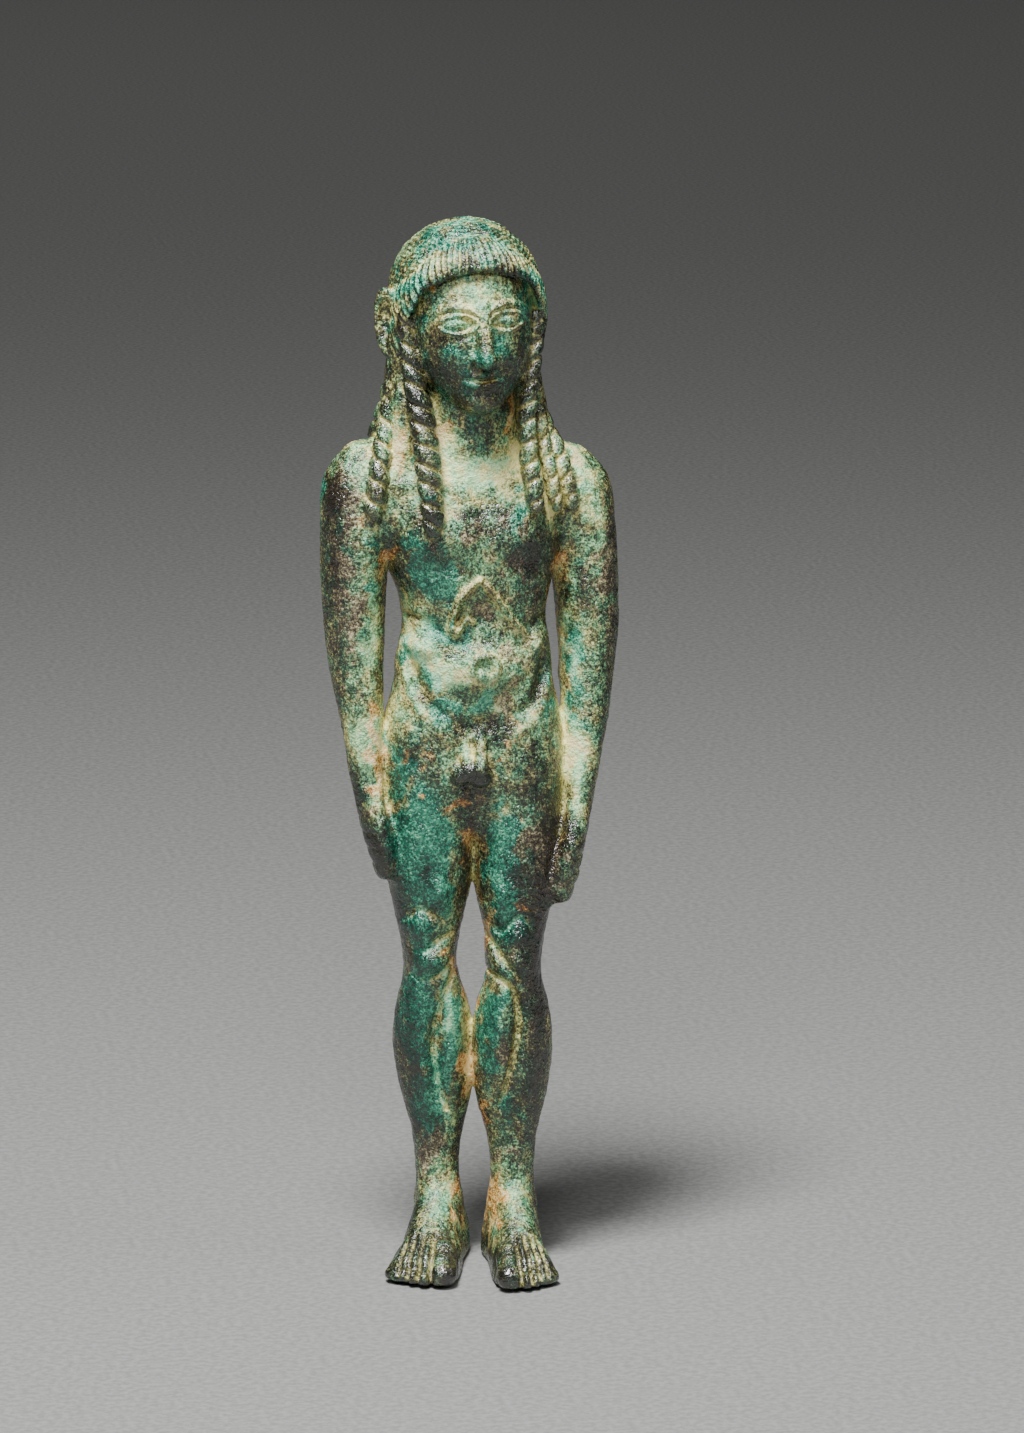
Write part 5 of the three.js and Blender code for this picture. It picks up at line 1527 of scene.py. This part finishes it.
def patina():
    net = Net("bronze_patina_and_painted_light")
    crease, hollow = net.mark("crease"), net.mark("hollow")
    ridge, shelter = net.mark("ridge"), net.mark("shelter")
    painted_strand_light, line, painted_side_shading = net.mark("painted_strand_light"), net.mark("line"), net.mark("painted_side_shading")
    teal, pale, dark = net.mark("teal"), net.mark("pale"), net.mark("dark")
    brown, ochre, worn = net.mark("brown"), net.mark("ochre"), net.mark("worn")
    dust = net.grain(0.2, detail=1, rough=0.5, shift=5)
    fine = net.grain(0.4, detail=2, rough=0.6, shift=3)
    pits = net.grain(1.1, detail=2, rough=0.5, shift=17)
    crumb = net.grain(1.6, detail=5, rough=0.75, shift=11, stretch=1.2)
    green_drift = net.grain(1.9, detail=3, rough=0.62, shift=23, stretch=1.3)
    warm_drift = net.grain(1.7, detail=3, rough=0.62, shift=31, stretch=1.2)
    cloud = net.grain(6.5, detail=2, rough=0.5, shift=37, stretch=1.3)
    grains = net.total((dust, 0.4), (fine, 0.46), (crumb, 0.44), (cloud, 0.06), -0.655)
    # Pale and dark spots, soil in creases and hollows, and the drawn lines; the spots and the trunk's
    # lines carry painted light and shading too
    lean = net.total((pale, 0.36), (dark, -0.36), (crease, 0.34), (hollow, 0.2), (line, 0.32))
    # Painted shading in sheltered places and on the faces turned to the sides, with real wear that
    # darkens ridges and rubbed places
    shade_and_wear = net.total((shelter, -0.05), (painted_side_shading, -0.14), (ridge, -0.1), (worn, -0.23))
    # Thick crust is smoother than the rest
    grains = net.maths("MULTIPLY", grains, net.total(1, (pale, -0.3), (teal, -0.22)))
    # Painted light on the hair's strands and painted shadow between them
    tone = net.total(0.5, grains, lean, shade_and_wear, (painted_strand_light, 0.27))
    yellow = net.total((warm_drift, 0.7), (crease, 0.45), (hollow, 0.5), (painted_side_shading, 0.2))
    olive = net.rise(yellow, 0.1, 0.85)
    crust = net.mix(olive, net.ramp(tone, GREENS), net.ramp(tone, OLIVES))
    # Pale grains lie over the brown and the teal
    grained = net.total(1, (net.rise(tone, 0.55, 0.95), -0.4))
    rusty = net.rise(net.total(brown, (warm_drift, 0.7), (green_drift, -0.35)), 0.4, 1.05)
    colour = net.mix(net.maths("MULTIPLY", rusty, grained), crust, net.ramp(tone, BROWNS))
    film = net.total((teal, 1.3), (green_drift, 0.8), (warm_drift, -0.2), (worn, -0.5))
    film = net.rise(film, 0.42, 1.05)
    colour = net.mix(net.maths("MULTIPLY", film, grained), colour, net.ramp(tone, TEALS))
    soil = net.total(ochre, (shelter, 0.3), (warm_drift, 0.45), (worn, -0.5))
    soil = net.rise(soil, 0.55, 1.05)
    colour = net.mix(soil, colour, net.ramp(net.total(tone, 0.16), OCHRES))
    net.put(net.shader.inputs["Base Color"], colour)
    net.put(net.shader.inputs["IOR"], GLOSSY_IOR)
    rough = net.rise(tone, 0.3, 0.9)
    net.put(net.shader.inputs["Roughness"], net.total(0.17, (rough, 0.4), (dust, 0.05)))
    net.put(net.shader.inputs["Coat Weight"], net.total((worn, 0.6)))
    net.put(net.shader.inputs["Coat Roughness"], COAT_ROUGHNESS)
    height = net.total((dust, 0.2), (fine, 0.5), (pits, 0.7))
    bumps = net.add("ShaderNodeBump", {"Height": height, "Distance": BUMP_DEPTH * MM, "Strength": 1.0})
    net.put(net.shader.inputs["Normal"], bumps)
    return net.material


PAPER_GREYS = [(0.235, 0.235, 0.23), (0.322, 0.322, 0.315)]
PAPER_ROUGHNESS = 0.9


def paper():
    net = Net("paper")
    tooth = net.grain(0.9, detail=2, rough=0.6)
    net.put(net.shader.inputs["Base Color"], net.ramp(tooth, PAPER_GREYS))
    net.put(net.shader.inputs["Roughness"], PAPER_ROUGHNESS)
    return net.material


figure_mesh.materials.append(patina())
floor_mesh.materials.append(paper())


# Lights, each an oval disc: its place and what it faces in metres, its width and depth, and watts
LIGHTS = {
    "key": ((-0.09, -0.14, 0.53), (0, 0, 0.065), 0.14, 0.14, 5.0),
    "front": ((-0.12, -0.45, 0.46), (0, 0, 0.065), 0.24, 0.16, 1.35),
    "side": ((0.3, -0.12, 0.42), (0, 0, 0.04), 0.2, 0.2, 0.25),
    "back": ((0, 1.3, 0.9), (0, 1.4, 0), 1.2, 0.6, 1.8),
}
SURROUNDINGS = (0.5, 0.5, 0.5, 1)
SURROUNDINGS_STRENGTH = 0.04


def area_light(name, place, target, width, depth, power):
    data = bpy.data.lights.new(name, "AREA")
    data.shape = "ELLIPSE"
    data.size = width
    data.size_y = depth
    data.energy = power
    lamp = linked(name, data)
    lamp.location = place
    way = Vector(target) - Vector(place)
    lamp.rotation_euler = way.to_track_quat("-Z", "Y").to_euler()


for name, settings in LIGHTS.items():
    area_light(name, *settings)
world = bpy.data.worlds.new("world")
bpy.context.scene.world = world
world.use_nodes = True
background = world.node_tree.nodes["Background"]
background.inputs["Color"].default_value = SURROUNDINGS
background.inputs["Strength"].default_value = SURROUNDINGS_STRENGTH
